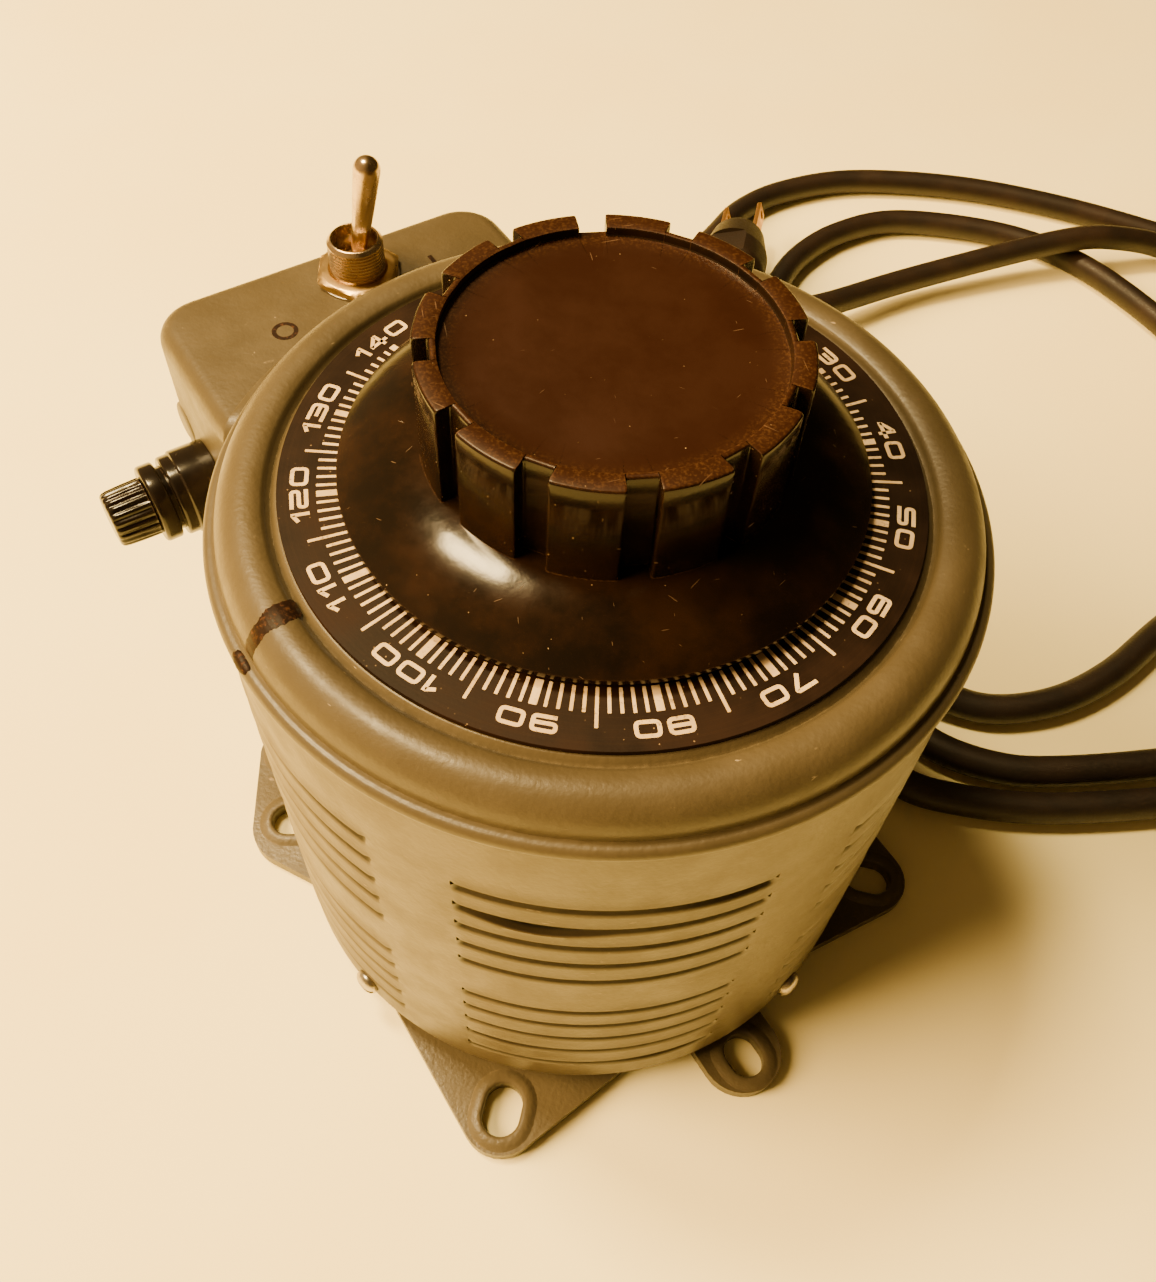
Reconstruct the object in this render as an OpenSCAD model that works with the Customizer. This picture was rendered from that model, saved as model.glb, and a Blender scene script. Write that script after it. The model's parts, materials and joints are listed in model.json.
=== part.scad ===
// Variable autotransformer with a turn knob, dial, terminal box, switch, fuse and cord.
// Frame: Z up the shaft, z = 0 on the underside of the base, X to the right-hand foot.
// All lengths are in millimetres.

/* [Base] */
// radius of the four corner mounting slots
corner_slot_r = 78; // [60:0.5:100]
// radius of the three tab mounting slots
tab_slot_r = 74.8; // [60:0.1:100]
// width of a corner mounting slot
slot_w = 8.7; // [4:0.1:12]
// end to end length of a corner mounting slot
slot_l = 12; // [5:0.5:20]
// thickness of the base plate
plate_t = 3.5; // [2:0.1:8]
// height of the round platform of the base
platform_h = 6.5; // [4:0.1:15]
// radius of the round platform of the base
platform_r = 66; // [50:0.5:69]

/* [Case] */
// outer radius of the ventilated shell
shell_r = 70; // [60:0.5:90]
// sheet thickness of the shell
shell_t = 1; // [0.6:0.1:2]
// height of the shell's top rim
shell_top = 127.8; // [100:0.1:150]
// height of each ventilation slit
slit_h = 2; // [1:0.1:4]
// angle covered by one row of slits
slit_span = 46.5; // [20:0.5:55]

/* [Dial and knob] */
// height of the dial's face above the underside
dial_z = 137.5; // [120:0.1:160]
// radius of the dial plate
dial_r = 57; // [50:0.5:58]
// highest number on the dial
dial_max = 140; // [100:10:280]
// azimuth of the dial's zero mark
dial_zero = 113.5; // [0:0.5:360]
// turning angle from the zero mark to the highest number
dial_sweep = 318; // [270:1:330]
// radius over the knob's lobes
knob_r = 32; // [25:0.5:40]
// height of the knob's top above the dial
knob_h = 29.7; // [15:0.1:40]
// number of finger grooves round the knob
knob_grooves = 12; // [6:1:24]
// azimuth of the knob's pointer groove at the zero stop
pointer_az = 109.3; // [0:0.1:360]

/* [Shaft and coil] */
// radius of the shaft
shaft_r = 4.75; // [3:0.05:8]
// outer radius of the winding
coil_r = 60; // [50:0.5:62]
// inner radius of the winding
coil_bore_r = 25; // [20:0.5:35]
// height of the winding's top
coil_top = 100; // [60:1:104]

/* [Terminal box] */
// left end of the box, along its own X
box_x0 = -50.7; // [-60:0.1:-40]
// right end of the box, along its own X
box_x1 = 31; // [25:0.1:50]
// distance of the box's back wall from the shaft
box_back = 100; // [90:0.5:120]
// height of the box's top
box_top = 121.5; // [100:0.1:126]
// height of the box's lower edge
box_bottom = 60; // [40:0.5:70]
// wall thickness of the box
box_t = 1.6; // [1:0.1:3]
// azimuth of the box round the shaft
box_az = 135; // [0:1:360]

/* [Switch] */
// position of the switch along the box's X
switch_x = -6; // [-20:0.5:10]
// position of the switch along the box's Y
switch_y = 87.5; // [80:0.5:95]
// lean of the switch lever towards the off side
lever_lean = 12; // [0:0.5:15]

/* [Fuse] */
// distance of the fuse holder's axis from the shaft, along the box's Y
fuse_y = 75; // [70:0.5:90]
// height of the fuse holder's axis
fuse_z = 92.6; // [70:0.1:100]

/* [Cord] */
// radius of the power cord
cord_r = 4.4; // [3:0.1:6]
// distance of the cord's outlet from the shaft, along the box's Y
cord_y = 77.5; // [70:0.5:90]
// height of the cord's outlet
cord_z = 76; // [66:0.5:90]

/* [Hidden] */
$fn = 96;
eps = 0.05;

// Base
corner_r = 9.4;
foot_tab_r = 9.75;
ear_r = 11.4;
ear_c = 73.7;
tab_len = 10.5;
tab_w = 8.3;
boss_r = 23.5;
boss_h = 12;
recess_r = 58;
recess_h = 3;
// the slots of the three tabs
tab_az = [-45, 75, 195];
// the shell's fixing screws
shell_screw_az = [-32, 58, 148, 238];
shell_screw_z = 14.5;

// Shell slits: five near the top and five lower down, in six groups
slit_z = [107.5, 99.3, 90.9, 82.4, 73.8, 55.5, 47.3, 38.8, 30.2, 21.0];
slit_groups = [-75, -15, 45, 105, 165, 225];
wire_hole_r = 6;
wire_hole_z = 90;

// Top cover and dial
cover_t = 1.2;
floor_z = dial_z - 1;
cover_hole_r = 14;
arc_c = 62.5;
arc_r = 6;
arc_z = dial_z - arc_r;
dial_screw_az = [75, 195, 315];
dial_screw_r = 32;
tick_out = 50.2;
tick_in = 45.5;
tick_depth = 0.2;

// Knob
knob_top = dial_z + knob_h;
knob_skirt_r = 46.5;
skirt_z = dial_z + 2;
hub_z = dial_z + 0.7;
dome_c = 26.4;
dome_z = dial_z - 22.8;
dome_r = 32.8;
groove_w = 5.2;
groove_r = 29.2;
groove_z = dial_z + 9.6;
recess_in = 28;
recess_d = 1.8;
set_screw_z = dial_z + 20;
set_screw_az = pointer_az - 60;

// Coil
seat_z = platform_h;
seat_h = 3.5;
coil_z = seat_z + seat_h;
wire_t = 2;
insul_t = 1.5;
split_z = 55;
bolt_r = 19;
bolt_az = [15, 135, 255];
shaft_top = knob_top - recess_d - 1.4;
track_t = 0.6;
clamp_t = 4;
clamp_z = coil_top;
bush_r = 8.5;
collar_z = [[14.1, 20], [84, 89.9]];

// Rotor, angles measured from the pointer
hub_top = 122;
hub_r = 13;
rotor_z = 113;
rotor_t = 3;
brush_r = 48;
brush_x = 10;
brush_y = 5;
brush_top = 112;
holder_z0 = 103;
holder_z1 = 124;
spring_top = holder_z1 - 2;
post_r = 3;
post_c = 32;
post_az = 135;
stop_gap = 0.1;
lug_half = (360 - dial_sweep) / 2 - asin(post_r / post_c) - stop_gap;
lug_az = post_az - (360 - dial_sweep) / 2;

// Terminal box
gasket_r = 72.5;
saddle_r = 75.3;
saddle_lo = 51.5;
saddle_hi = 133.5;
saddle_screw_at = [78, 102];
saddle_screw_z = [64.6, 115];
lid_t = 1.6;
plug_hole_y = 89.8;
plug_hole_z = 97.1;
post_xy = [[-44.5, 93.5], [24.6, 93.4]];
strip_top = 72;
strip_screw_xy = [[-32, 91.5], [-22, 91.5]];

// Switch
pivot_z = 124;
bushing_top = 131.3;
thread_r = 6;
rocker_z = 106;
lever_len = 22.5;
switch_hx = 15;
switch_hy = 8;
body_top = 118.4;

// Fuse holder, outlet and strain relief
fuse_x0 = box_x0 - 15.3;
fuse_collar = 10.4;
fuse_flange = 3.7;
fuse_x1 = -20;
carrier_x0 = -59.7;
glass_x0 = -53.3;
glass_x1 = -30.2;
outlet_x = 4;
outlet_z = 80;
outlet_screw_c = 15.5;
relief_r = 6;

// Plug: centre line along +Y, just clear of the table, rolled about that line
plug_x = 8;
plug_y = 203;
plug_z = 14;
plug_face = 240;
plug_roll = 20;
plug_r = 12.3;
blade_len = 17;
blade_gap = 12.7;

// Middle line of the cord, from the box, round the coil on the table, to the plug
floor_cord = cord_r + 0.1;
cord_path = [
    [-37.8, 71.8, 76], [-25, 84.6, 76], [-14, 95.6, 75], [-2, 109, 67], [6, 130, 50],
    [9, 153, 33], [14, 177, 21], [27, 199, 15], [46, 217, 11], [71, 239, 9],
    [107.5, 262, 11.5], [131, 274, 14], [148, 281, 13], [170, 287, 8],
    [200, 276, floor_cord], [228, 250, floor_cord], [248, 215, floor_cord],
    [254, 175, floor_cord], [245, 130, floor_cord], [222, 92, floor_cord],
    [190, 67, floor_cord], [155, 53, floor_cord], [128, 44, floor_cord],
    [111, 41, floor_cord], [93, 44, floor_cord], [80, 54, floor_cord],
    [68, 70, floor_cord], [56, 92, floor_cord], [44, 118, floor_cord],
    [32, 148, floor_cord], [24, 178, floor_cord], [21.5, 205, floor_cord],
    [25.5, 230, floor_cord], [32, 249.5, floor_cord], [46, 268, floor_cord],
    [68, 281, floor_cord], [107, 283.5, floor_cord], [137, 273, floor_cord],
    [165, 248, floor_cord], [183, 222, floor_cord], [191, 192, floor_cord],
    [189, 158, floor_cord], [176, 124, floor_cord], [157, 99, floor_cord],
    [143, 81, floor_cord], [128, 68, floor_cord], [111, 60.5, floor_cord],
    [97, 60, 5.5], [82, 64, 10], [68, 70, 14], [54, 79, 14.2], [41, 92, 14],
    [28, 108, 11], [16, 128, 6], [6, 153, floor_cord], [-3, 185, floor_cord],
    [-8, 212, floor_cord], [-6, 238, floor_cord], [-1, 254, floor_cord],
    [6, 271, floor_cord], [20, 287, floor_cord], [46, 302, floor_cord],
    [86, 309.7, floor_cord], [126, 308.5, floor_cord], [167.5, 300.5, floor_cord],
    [206, 288, floor_cord], [240, 262, floor_cord], [262, 222, floor_cord],
    [268, 175, floor_cord], [258, 125, floor_cord], [232, 82, floor_cord],
    [195, 55, floor_cord], [155, 40.5, floor_cord], [123, 31, floor_cord],
    [100, 28.3, floor_cord], [85, 30, floor_cord], [70, 40, floor_cord],
    [59, 58, floor_cord], [47, 80, floor_cord], [33, 108, floor_cord],
    [20, 140, floor_cord], [11, 166, 6], [8.1, 185, 11.8], [8, 197, plug_z - 0.1],
    [8, 204, plug_z], [8, 211, plug_z]
];

// Leads inside the box, in the box's own axes
lead_r = 1.2;
lead_paths = [
    [[22.9, 77.5, 76], [14, 78.5, 82], [5, 80, 90], [2, 85, 95], [2, 86, 97], [2, 86, 98.8]],
    [[-19.6, 75, 92.6], [-17.5, 75, 92.6], [-11, 78, 94], [-8, 82.5, 96], [-8, 83, 97],
        [-8, 83, 98.8]],
    [[-14, 86, 98.8], [-14, 86, 96.5], [-14.5, 86.5, 90], [-16, 88, 80], [-17, 89, 74],
        [-17, 89, 72.4]],
    [[-27, 88, 72.4], [-27, 88, 74], [-25, 85, 77], [-18, 80, 81], [-8, 78, 85], [-1, 75, 89],
        [0, 68, 90], [0, 61.5, 92]]
];

// ---- helpers ----

// points along an arc of radius r round c
function arc(c, r, a0, a1, n = 12) =
    [for (i = [0:n]) c + r * [cos(a0 + (a1 - a0) * i / n), sin(a0 + (a1 - a0) * i / n)]];

// point at radius r and azimuth a
function at(r, a) = [r * cos(a), r * sin(a)];

// outline reflected in the line through the terminal box
function across(p) = [-p[1], -p[0]];

// one point of a smooth curve through four neighbours
function curve(a, b, c, d, t) =
    0.5 * (2 * b + (c - a) * t + (2 * a - 5 * b + 4 * c - d) * t * t
        + (3 * b - a - 3 * c + d) * t * t * t);

// smooth line through all the points, n steps between two of them
function smooth(p, n) = concat(
    [for (i = [0:len(p) - 2]) for (k = [0:n - 1])
        curve(p[max(i - 1, 0)], p[i], p[i + 1], p[min(i + 2, len(p) - 1)], k / n)],
    [p[len(p) - 1]]);

// directions across a line at point i: sideways and upwards
function unit(v) = v / norm(v);
function heading(p, i) = unit(p[min(i + 1, len(p) - 1)] - p[max(i - 1, 0)]);
function sideways(t) = unit(cross(t, [0, 0, 1]) + [1e-6, 0, 0]);

// round tube along a line
module sweep(p, r, sides = 8) {
    n = len(p);
    pts = [for (i = [0:n - 1]) let (t = heading(p, i), s = sideways(t), u = cross(s, t))
        for (k = [0:sides - 1])
            p[i] + r * (cos(360 * k / sides) * s + sin(360 * k / sides) * u)];
    walls = [for (i = [0:n - 2]) for (k = [0:sides - 1])
        let (a = i * sides + k, b = i * sides + (k + 1) % sides)
        for (f = [[a, b, a + sides], [b, b + sides, a + sides]]) f];
    start = [for (k = [1:sides - 2]) [0, k + 1, k]];
    last = (n - 1) * sides;
    end = [for (k = [1:sides - 2]) [last, last + k, last + k + 1]];
    polyhedron(points = pts, faces = concat(walls, start, end));
}

// ring between two radii and two heights
module ring(r0, r1, z0, z1) {
    translate([0, 0, z0])
        difference() {
            cylinder(r = r1, h = z1 - z0);
            translate([0, 0, -1]) cylinder(r = r0, h = z1 - z0 + 2);
        }
}

// part of a ring between two azimuths
module ring_part(r0, r1, z0, z1, a0, a1) {
    rotate([0, 0, a0])
        rotate_extrude(angle = a1 - a0)
            polygon([[r0, z0], [r1, z0], [r1, z1], [r0, z1]]);
}

// block given by its limits
module block(x0, x1, y0, y1, z0, z1) {
    translate([x0, y0, z0]) cube([x1 - x0, y1 - y0, z1 - z0]);
}

// upright rod
module rod(p, r, z0, z1) {
    translate([p[0], p[1], z0]) cylinder(r = r, h = z1 - z0);
}

// rod along X from x0 to x1
module rod_x(x0, x1, r) {
    translate([x0, 0, 0]) rotate([0, 90, 0]) cylinder(r = r, h = x1 - x0);
}

// rod pointing outwards at azimuth a
module radial_rod(a, z, r0, r1, r) {
    rotate([0, 0, a]) translate([0, 0, z]) rod_x(r0, r1, r);
}

// places children in the terminal box's own axes
module in_box() {
    rotate([0, 0, box_az - 90]) children();
}

// places children on the rotor, with X along the pointer
module on_rotor() {
    rotate([0, 0, pointer_az]) children();
}

// radial slot cut through the base
module slot_cut(az, c, w, l) {
    rotate([0, 0, az]) translate([c, 0, -1])
        linear_extrude(height = platform_h + 2)
            union() {
                square([l - w, w], center = true);
                translate([(l - w) / 2, 0]) circle(d = w);
                translate([(w - l) / 2, 0]) circle(d = w);
            }
}

// ---- base and case ----

// half of the base outline, from the front tab round to the left ear
half_outline = concat(
    arc(at(73.65, -45), foot_tab_r, -45, -135, 8),
    [[36, -49.7]],
    arc([0, -corner_slot_r - 0.6], corner_r, -39.5, -135, 8),
    [[-56.3, -35.6]],
    arc(at(ear_c, 195.8), ear_r, -104.4, -159.2, 6),
    arc([-corner_slot_r - 0.6, 0], corner_r, -159.2, -225, 8)
);
outline = concat(half_outline, [for (i = [len(half_outline) - 1:-1:1]) across(half_outline[i])]);

module base_casting() {
    color("dimgray")
        difference() {
            union() {
                linear_extrude(height = plate_t) polygon(outline);
                cylinder(r = platform_r, h = platform_h);
                cylinder(r = boss_r, h = boss_h);
                for (a = shell_screw_az) screw_lug(a);
            }
            translate([0, 0, -1]) difference() {
                cylinder(r = recess_r, h = recess_h + 1);
                translate([0, 0, -1]) cylinder(r = boss_r, h = recess_h + 3);
            }
            for (a = [0, 90, 180, 270]) slot_cut(a, corner_slot_r, slot_w, slot_l);
            for (a = tab_az) slot_cut(a, tab_slot_r, tab_w, tab_len);
            rod([0, 0], bush_r, 2.5, boss_h + 1);
            for (a = bolt_az) rod(at(bolt_r, a), 2.5 + eps, 3, boss_h + 1);
            for (a = shell_screw_az) radial_rod(a, shell_screw_z, 59, 75, 1.95);
        }
}

// lug on the base that holds one screw of the shell
module screw_lug(a) {
    rotate([0, 0, a]) {
        block(60.5, 62.3, -6, 6, platform_h - 0.5, 20);
        intersection() {
            block(60.5, 69, -6, 6, 11.5, 20);
            cylinder(r = shell_r - shell_t - eps, h = 30);
        }
    }
}

module shell_profile() {
    r = shell_r;
    polygon(concat(
        [[63, platform_h]],
        arc([r - 4, platform_h + 4], 4, -90, 0, 8),
        [[r, shell_top], [r - shell_t, shell_top]],
        arc([r - 4, platform_h + 4], 4 - shell_t, 0, -90, 8),
        [[63, platform_h + shell_t]]
    ));
}

module ventilated_shell() {
    color("gray")
        difference() {
            rotate_extrude() shell_profile();
            for (g = slit_groups) for (z = slit_z)
                ring_part(shell_r - 3, shell_r + 2, z - slit_h / 2, z + slit_h / 2,
                    g - slit_span / 2, g + slit_span / 2);
            for (a = shell_screw_az) radial_rod(a, shell_screw_z, 60, 75, 2);
            in_box() for (a = saddle_screw_at) for (z = saddle_screw_z)
                radial_rod(a, z, 60, 75, 2);
            radial_rod(box_az, wire_hole_z, 60, 75, wire_hole_r);
        }
}

module shell_screws() {
    color("silver")
        for (a = shell_screw_az) {
            radial_rod(a, shell_screw_z, 62, shell_r + 0.5, 1.9);
            difference() {
                intersection() {
                    radial_rod(a, shell_screw_z, shell_r, shell_r + 2.2, 3.2);
                    rotate([0, 0, a]) translate([shell_r - 3.2, 0, shell_screw_z])
                        sphere(r = 5.3);
                }
                rotate([0, 0, a]) translate([shell_r + 1.2, -4, shell_screw_z - 0.5])
                    cube([3, 8, 1]);
            }
        }
}

module cover_profile() {
    polygon(concat(
        [[cover_hole_r, floor_z], [58.3, floor_z], [58.9, floor_z - 0.8]],
        arc([arc_c, arc_z], arc_r, 122, 0, 12),
        [[68.9, arc_z - 0.4]],
        arc([69.5, dial_z - 8.1], 1.4, 105, -75, 10),
        [[shell_r, shell_top], [shell_r - shell_t - eps, shell_top],
            [shell_r - shell_t - eps, 122], [67.75, 122], [67.75, arc_z - 1.5]],
        arc([arc_c, arc_z], arc_r - cover_t, 0, 122, 12),
        [[59.2, floor_z - 2], [58.3, floor_z - cover_t], [cover_hole_r, floor_z - cover_t]]
    ));
}

module top_cover() {
    color("gray")
        difference() {
            rotate_extrude() cover_profile();
            for (a = dial_screw_az) rod(at(dial_screw_r, a), 1.5 + eps, 130, 140);
            rod(at(post_c, post_az), 1.5, 130, 140);
            rod([post_c, 0], 1.5, 130, 140);
        }
}

// one engraved line of the dial, from radius r0 to r1
module tick(v, r0, r1, w) {
    rotate([0, 0, dial_zero - v * dial_sweep / dial_max])
        block(r0, r1, -w / 2, w / 2, dial_z - tick_depth, dial_z + 1);
}

module dial_plate() {
    color([0.06, 0.06, 0.06])
        difference() {
            ring(cover_hole_r, dial_r, floor_z, dial_z);
            for (v = [0:1:dial_max]) {
                is_ten = v % 10 == 0;
                is_five = v % 5 == 0;
                tick(v, tick_in, is_ten || !is_five ? tick_out : 52.9, is_ten ? 1.3 : 0.55);
            }
            for (a = dial_screw_az) rod(at(dial_screw_r, a), 1.5 + eps, 130, 140);
        }
}

module dial_screws() {
    color("silver")
        for (a = dial_screw_az) {
            rod(at(dial_screw_r, a), 1.5, dial_z - 4, dial_z + 0.5);
            difference() {
                rod(at(dial_screw_r, a), 3, dial_z, dial_z + 1.1);
                translate([dial_screw_r * cos(a) - 4, dial_screw_r * sin(a) - 0.4, dial_z + 0.6])
                    cube([8, 0.8, 2]);
            }
        }
}

// ---- coil and core ----

module coil_seat_ring() {
    color("saddlebrown") ring(boss_r + 0.5, 58, seat_z, coil_z);
}

// half shell of insulation round the core, between two heights
module insulator(z0, z1) {
    r0 = coil_bore_r + wire_t;
    r1 = coil_r - wire_t;
    difference() {
        ring(r0, r1, z0, z1);
        ring(r0 + insul_t, r1 - insul_t, coil_z + wire_t + insul_t,
            coil_top - wire_t - insul_t);
    }
}

module lower_core_insulator() {
    color("burlywood") insulator(coil_z + wire_t, split_z);
}

module upper_core_insulator() {
    color("burlywood") insulator(split_z, coil_top - wire_t);
}

module core_stack() {
    inset = wire_t + insul_t;
    color("darkgray") ring(coil_bore_r + inset, coil_r - inset, coil_z + inset, coil_top - inset);
}

module copper_winding() {
    color("peru")
        difference() {
            rotate_extrude()
                polygon(concat(
                    arc([coil_bore_r + 3, coil_z + 3], 3, 180, 270, 4),
                    arc([coil_r - 3, coil_z + 3], 3, -90, 0, 4),
                    arc([coil_r - 3, coil_top - 3], 3, 0, 90, 4),
                    arc([coil_bore_r + 3, coil_top - 3], 3, 90, 180, 4)
                ));
            ring(coil_bore_r + wire_t, coil_r - wire_t, coil_z + wire_t, coil_top - wire_t);
        }
}

module brush_track() {
    color("orangered") ring(42, 54, coil_top, coil_top + track_t);
}

module coil_clamp_plate() {
    color("gray")
        difference() {
            union() {
                cylinder_between(38, clamp_z, clamp_z + clamp_t);
                cylinder_between(boss_r + 0.5, clamp_z - 10, clamp_z + 1);
            }
            rod([0, 0], bush_r, 80, 120);
            for (a = bolt_az) rod(at(bolt_r, a), 2.5 + eps, 80, 120);
        }
}

// disc between two heights
module cylinder_between(r, z0, z1) {
    translate([0, 0, z0]) cylinder(r = r, h = z1 - z0);
}

module coil_clamp_bolts() {
    color("silver")
        for (a = bolt_az) {
            rod(at(bolt_r, a), 2.5, 4, clamp_z + clamp_t + 1);
            translate([bolt_r * cos(a), bolt_r * sin(a), clamp_z + clamp_t])
                rotate([0, 0, a]) cylinder(r = 4.6, h = 3.4, $fn = 6);
        }
}

// flanged sleeve bearing between two heights
module bushing(z0, z1) {
    difference() {
        union() {
            cylinder_between(bush_r, z0, z1);
            cylinder_between(11, z1, z1 + 2);
        }
        cylinder_between(shaft_r + eps, z0 - 1, z1 + 3);
    }
}

module lower_bushing() {
    color("goldenrod") bushing(2.5, boss_h);
}

module upper_bushing() {
    color("goldenrod") bushing(clamp_z - 10, clamp_z + clamp_t);
}

// ---- parts under the cover ----

module stop_post() {
    color("silver") {
        rod(at(post_c, post_az), post_r, 119, floor_z - cover_t);
        rod(at(post_c, post_az), 1.45, floor_z - cover_t - 1, floor_z);
    }
}

module contact_block() {
    color("saddlebrown") {
        block(28, 36, -4, 4, 125, floor_z - cover_t);
        rod([post_c, 0], 1.45, floor_z - cover_t - 1, floor_z);
    }
}

module contact_leaf() {
    color("goldenrod")
        translate([0, 3, 0]) rotate([90, 0, 0])
            linear_extrude(height = 6)
                polygon([[36, 125], [36, 124.5], [27.5, 124.5], [21, 117.55], [18, 117.55],
                    [18, 118.05], [20.8, 118.05], [27.2, 125]]);
}

// ---- terminal box ----

// window through the saddle and gasket for the leads
module saddle_window() {
    block(-36, 15, 60, 80, 72, 108);
}

module saddle_gasket() {
    color([0.1, 0.1, 0.1])
        in_box() difference() {
            ring_part(shell_r + eps, gasket_r - eps, 62, 123, saddle_lo + 2, saddle_hi - 2);
            saddle_window();
            saddle_holes();
        }
}

// clearance holes of the saddle's screws
module saddle_holes() {
    for (a = saddle_screw_at) for (z = saddle_screw_z) radial_rod(a, z, 60, 80, 2);
}

module box_saddle() {
    color("gray")
        in_box() difference() {
            ring_part(gasket_r, saddle_r, 58, 125.5, saddle_lo, saddle_hi);
            saddle_window();
            saddle_holes();
        }
}

module saddle_screws() {
    color("silver")
        in_box() for (a = saddle_screw_at) for (z = saddle_screw_z) {
            radial_rod(a, z, 63.5, saddle_r + 1, 1.9);
            radial_rod(a, z, saddle_r + 0.05, saddle_r + 2.2, 3.4);
        }
}

module saddle_nuts() {
    color("silver")
        in_box() for (a = saddle_screw_at) for (z = saddle_screw_z)
            rotate([0, 0, a]) translate([65.8, 0, z]) rotate([0, 90, 0])
                difference() {
                    cylinder(r = 3.9, h = 3, $fn = 6);
                    translate([0, 0, -1]) cylinder(r = 1.92, h = 5);
                }
}

// box outline, drawn in from the outside by d, with round back corners
module box_outline(d) {
    r = 10 - d;
    polygon(concat(
        [[box_x0 + d, 40], [box_x1 - d, 40]],
        arc([box_x1 - 10, box_back - 10], r, 0, 90, 10),
        arc([box_x0 + 10, box_back - 10], r, 90, 180, 10)
    ));
}

// solid form of the box with a rounded top edge
module box_form() {
    e = 4;
    hull() {
        translate([0, 0, box_bottom])
            linear_extrude(height = box_top - box_bottom - e) box_outline(0);
        for (k = [1:4])
            translate([0, 0, box_top - e + e * sin(k * 22.5) - 0.01])
                linear_extrude(height = 0.01) box_outline(e * (1 - cos(k * 22.5)));
    }
}

module terminal_box() {
    color("gray")
        in_box() difference() {
            union() {
                difference() {
                    box_form();
                    translate([0, 0, box_bottom - 1])
                        linear_extrude(height = box_top - box_t - box_bottom + 1)
                            box_outline(box_t);
                }
                for (p = post_xy) rod(p, 4.5, box_bottom, box_bottom + 12);
            }
            cylinder_between(saddle_r, 30, 140);
            for (p = post_xy) rod(p, 1.5, box_bottom - 1, box_bottom + 10);
            rod([switch_x, switch_y], thread_r + eps, 110, 130);
            translate([0, fuse_y, fuse_z]) rod_x(box_x0 - 3, box_x0 + 5, 6.45);
            translate([0, cord_y, cord_z]) rod_x(box_x1 - 5, box_x1 + 3, relief_r);
            block(outlet_x - 13, outlet_x + 13, 90, 105, outlet_z - 13, outlet_z + 13);
            for (s = [-1, 1]) translate([outlet_x, 105, outlet_z + outlet_screw_c * s])
                rotate([90, 0, 0]) cylinder(r = 1.5, h = 12);
            translate([0, plug_hole_y, plug_hole_z]) difference() {
                rod_x(box_x0 - 1, box_x0 + 0.6, 5.1);
                rod_x(box_x0 - 2, box_x0 + 1, 4.5);
            }
        }
}

module box_floor() {
    color("gray")
        in_box() difference() {
            translate([0, 0, box_bottom - lid_t]) linear_extrude(height = lid_t) box_outline(0);
            cylinder_between(saddle_r, 30, 140);
            for (p = post_xy) rod(p, 1.6, 50, 70);
        }
}

module box_screws() {
    color("silver")
        in_box() for (p = post_xy) {
            rod(p, 1.45, box_bottom - lid_t - 0.5, box_bottom + 8);
            difference() {
                rod(p, 3, box_bottom - lid_t - 2, box_bottom - lid_t);
                translate([p[0] - 4, p[1] - 0.4, box_bottom - lid_t - 3]) cube([8, 0.8, 1.8]);
            }
        }
}

module terminal_strip() {
    color("saddlebrown")
        in_box() difference() {
            block(-35, -12, 84, 94, box_bottom, strip_top);
            for (p = strip_screw_xy) rod(p, 1.45, strip_top - 6, strip_top + 8);
        }
}

module terminal_screws() {
    color("goldenrod")
        in_box() for (p = strip_screw_xy) {
            rod(p, 1.4, strip_top - 5, strip_top + 1);
            rod(p, 2.2, strip_top, strip_top + 1.8);
        }
}

// ---- switch ----

module switch_body() {
    color([0.15, 0.1, 0.08])
        in_box() difference() {
            block(switch_x - switch_hx, switch_x + switch_hx, switch_y - switch_hy,
                switch_y + switch_hy, 99, body_top);
            block(switch_x - 11, switch_x + 11, switch_y - 4.5, switch_y + 4.5, 102, 120);
        }
}

module switch_bushing() {
    color("silver")
        in_box() difference() {
            union() {
                block(switch_x - switch_hx, switch_x + switch_hx, switch_y - switch_hy,
                    switch_y + switch_hy, body_top, box_top - box_t);
                translate([switch_x, switch_y, 0]) rotate_extrude()
                    polygon(concat(
                        [[0, 119], [thread_r, 119], [thread_r, 124]],
                        [for (k = [0:6]) for (s = [0, 1])
                            [thread_r - 0.5 + 0.5 * s, 124.4 + 0.8 * k + 0.4 * s]],
                        [[thread_r, 130.4], [thread_r - 0.9, bushing_top], [0, bushing_top]]
                    ));
            }
            rod([switch_x, switch_y], 4.75, 110, 140);
        }
}

module switch_washer() {
    color("silver")
        in_box() translate([switch_x, switch_y, 0]) ring(thread_r + eps, 8.4, box_top, box_top + 0.5);
}

module switch_nut() {
    color("goldenrod")
        in_box() translate([switch_x, switch_y, box_top + 0.5])
            intersection() {
                difference() {
                    cylinder(r = 17 / sqrt(3), h = 1.8, $fn = 6);
                    translate([0, 0, -1]) cylinder(r = thread_r + eps, h = 4);
                }
                cylinder(r1 = 10.4, r2 = 9.2, h = 1.8);
            }
}

module toggle_lever() {
    color("silver")
        in_box() translate([switch_x, switch_y, pivot_z]) rotate([0, lever_lean, 0]) {
            sphere(r = 3.6);
            cylinder(r1 = 1.7, r2 = 2.72, h = lever_len);
            translate([0, 0, lever_len]) sphere(r = 2.8);
            translate([0, 0, -10]) cylinder(r = 1.3, h = 9);
            rotate([90, 0, 0]) cylinder(r = 0.9, h = 9.2, center = true);
        }
}

module switch_rocker() {
    color("goldenrod")
        in_box() translate([switch_x, switch_y, rocker_z]) rotate([0, -8, 0]) {
            block(-8, 8, -3, 3, -1, 1);
            for (x = [-6.5, 6.5]) rod([x, 0], 1.2, 0, 2.2);
            rotate([90, 0, 0]) cylinder(r = 1.6, h = 7, center = true);
        }
}

// ---- fuse holder ----

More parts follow.
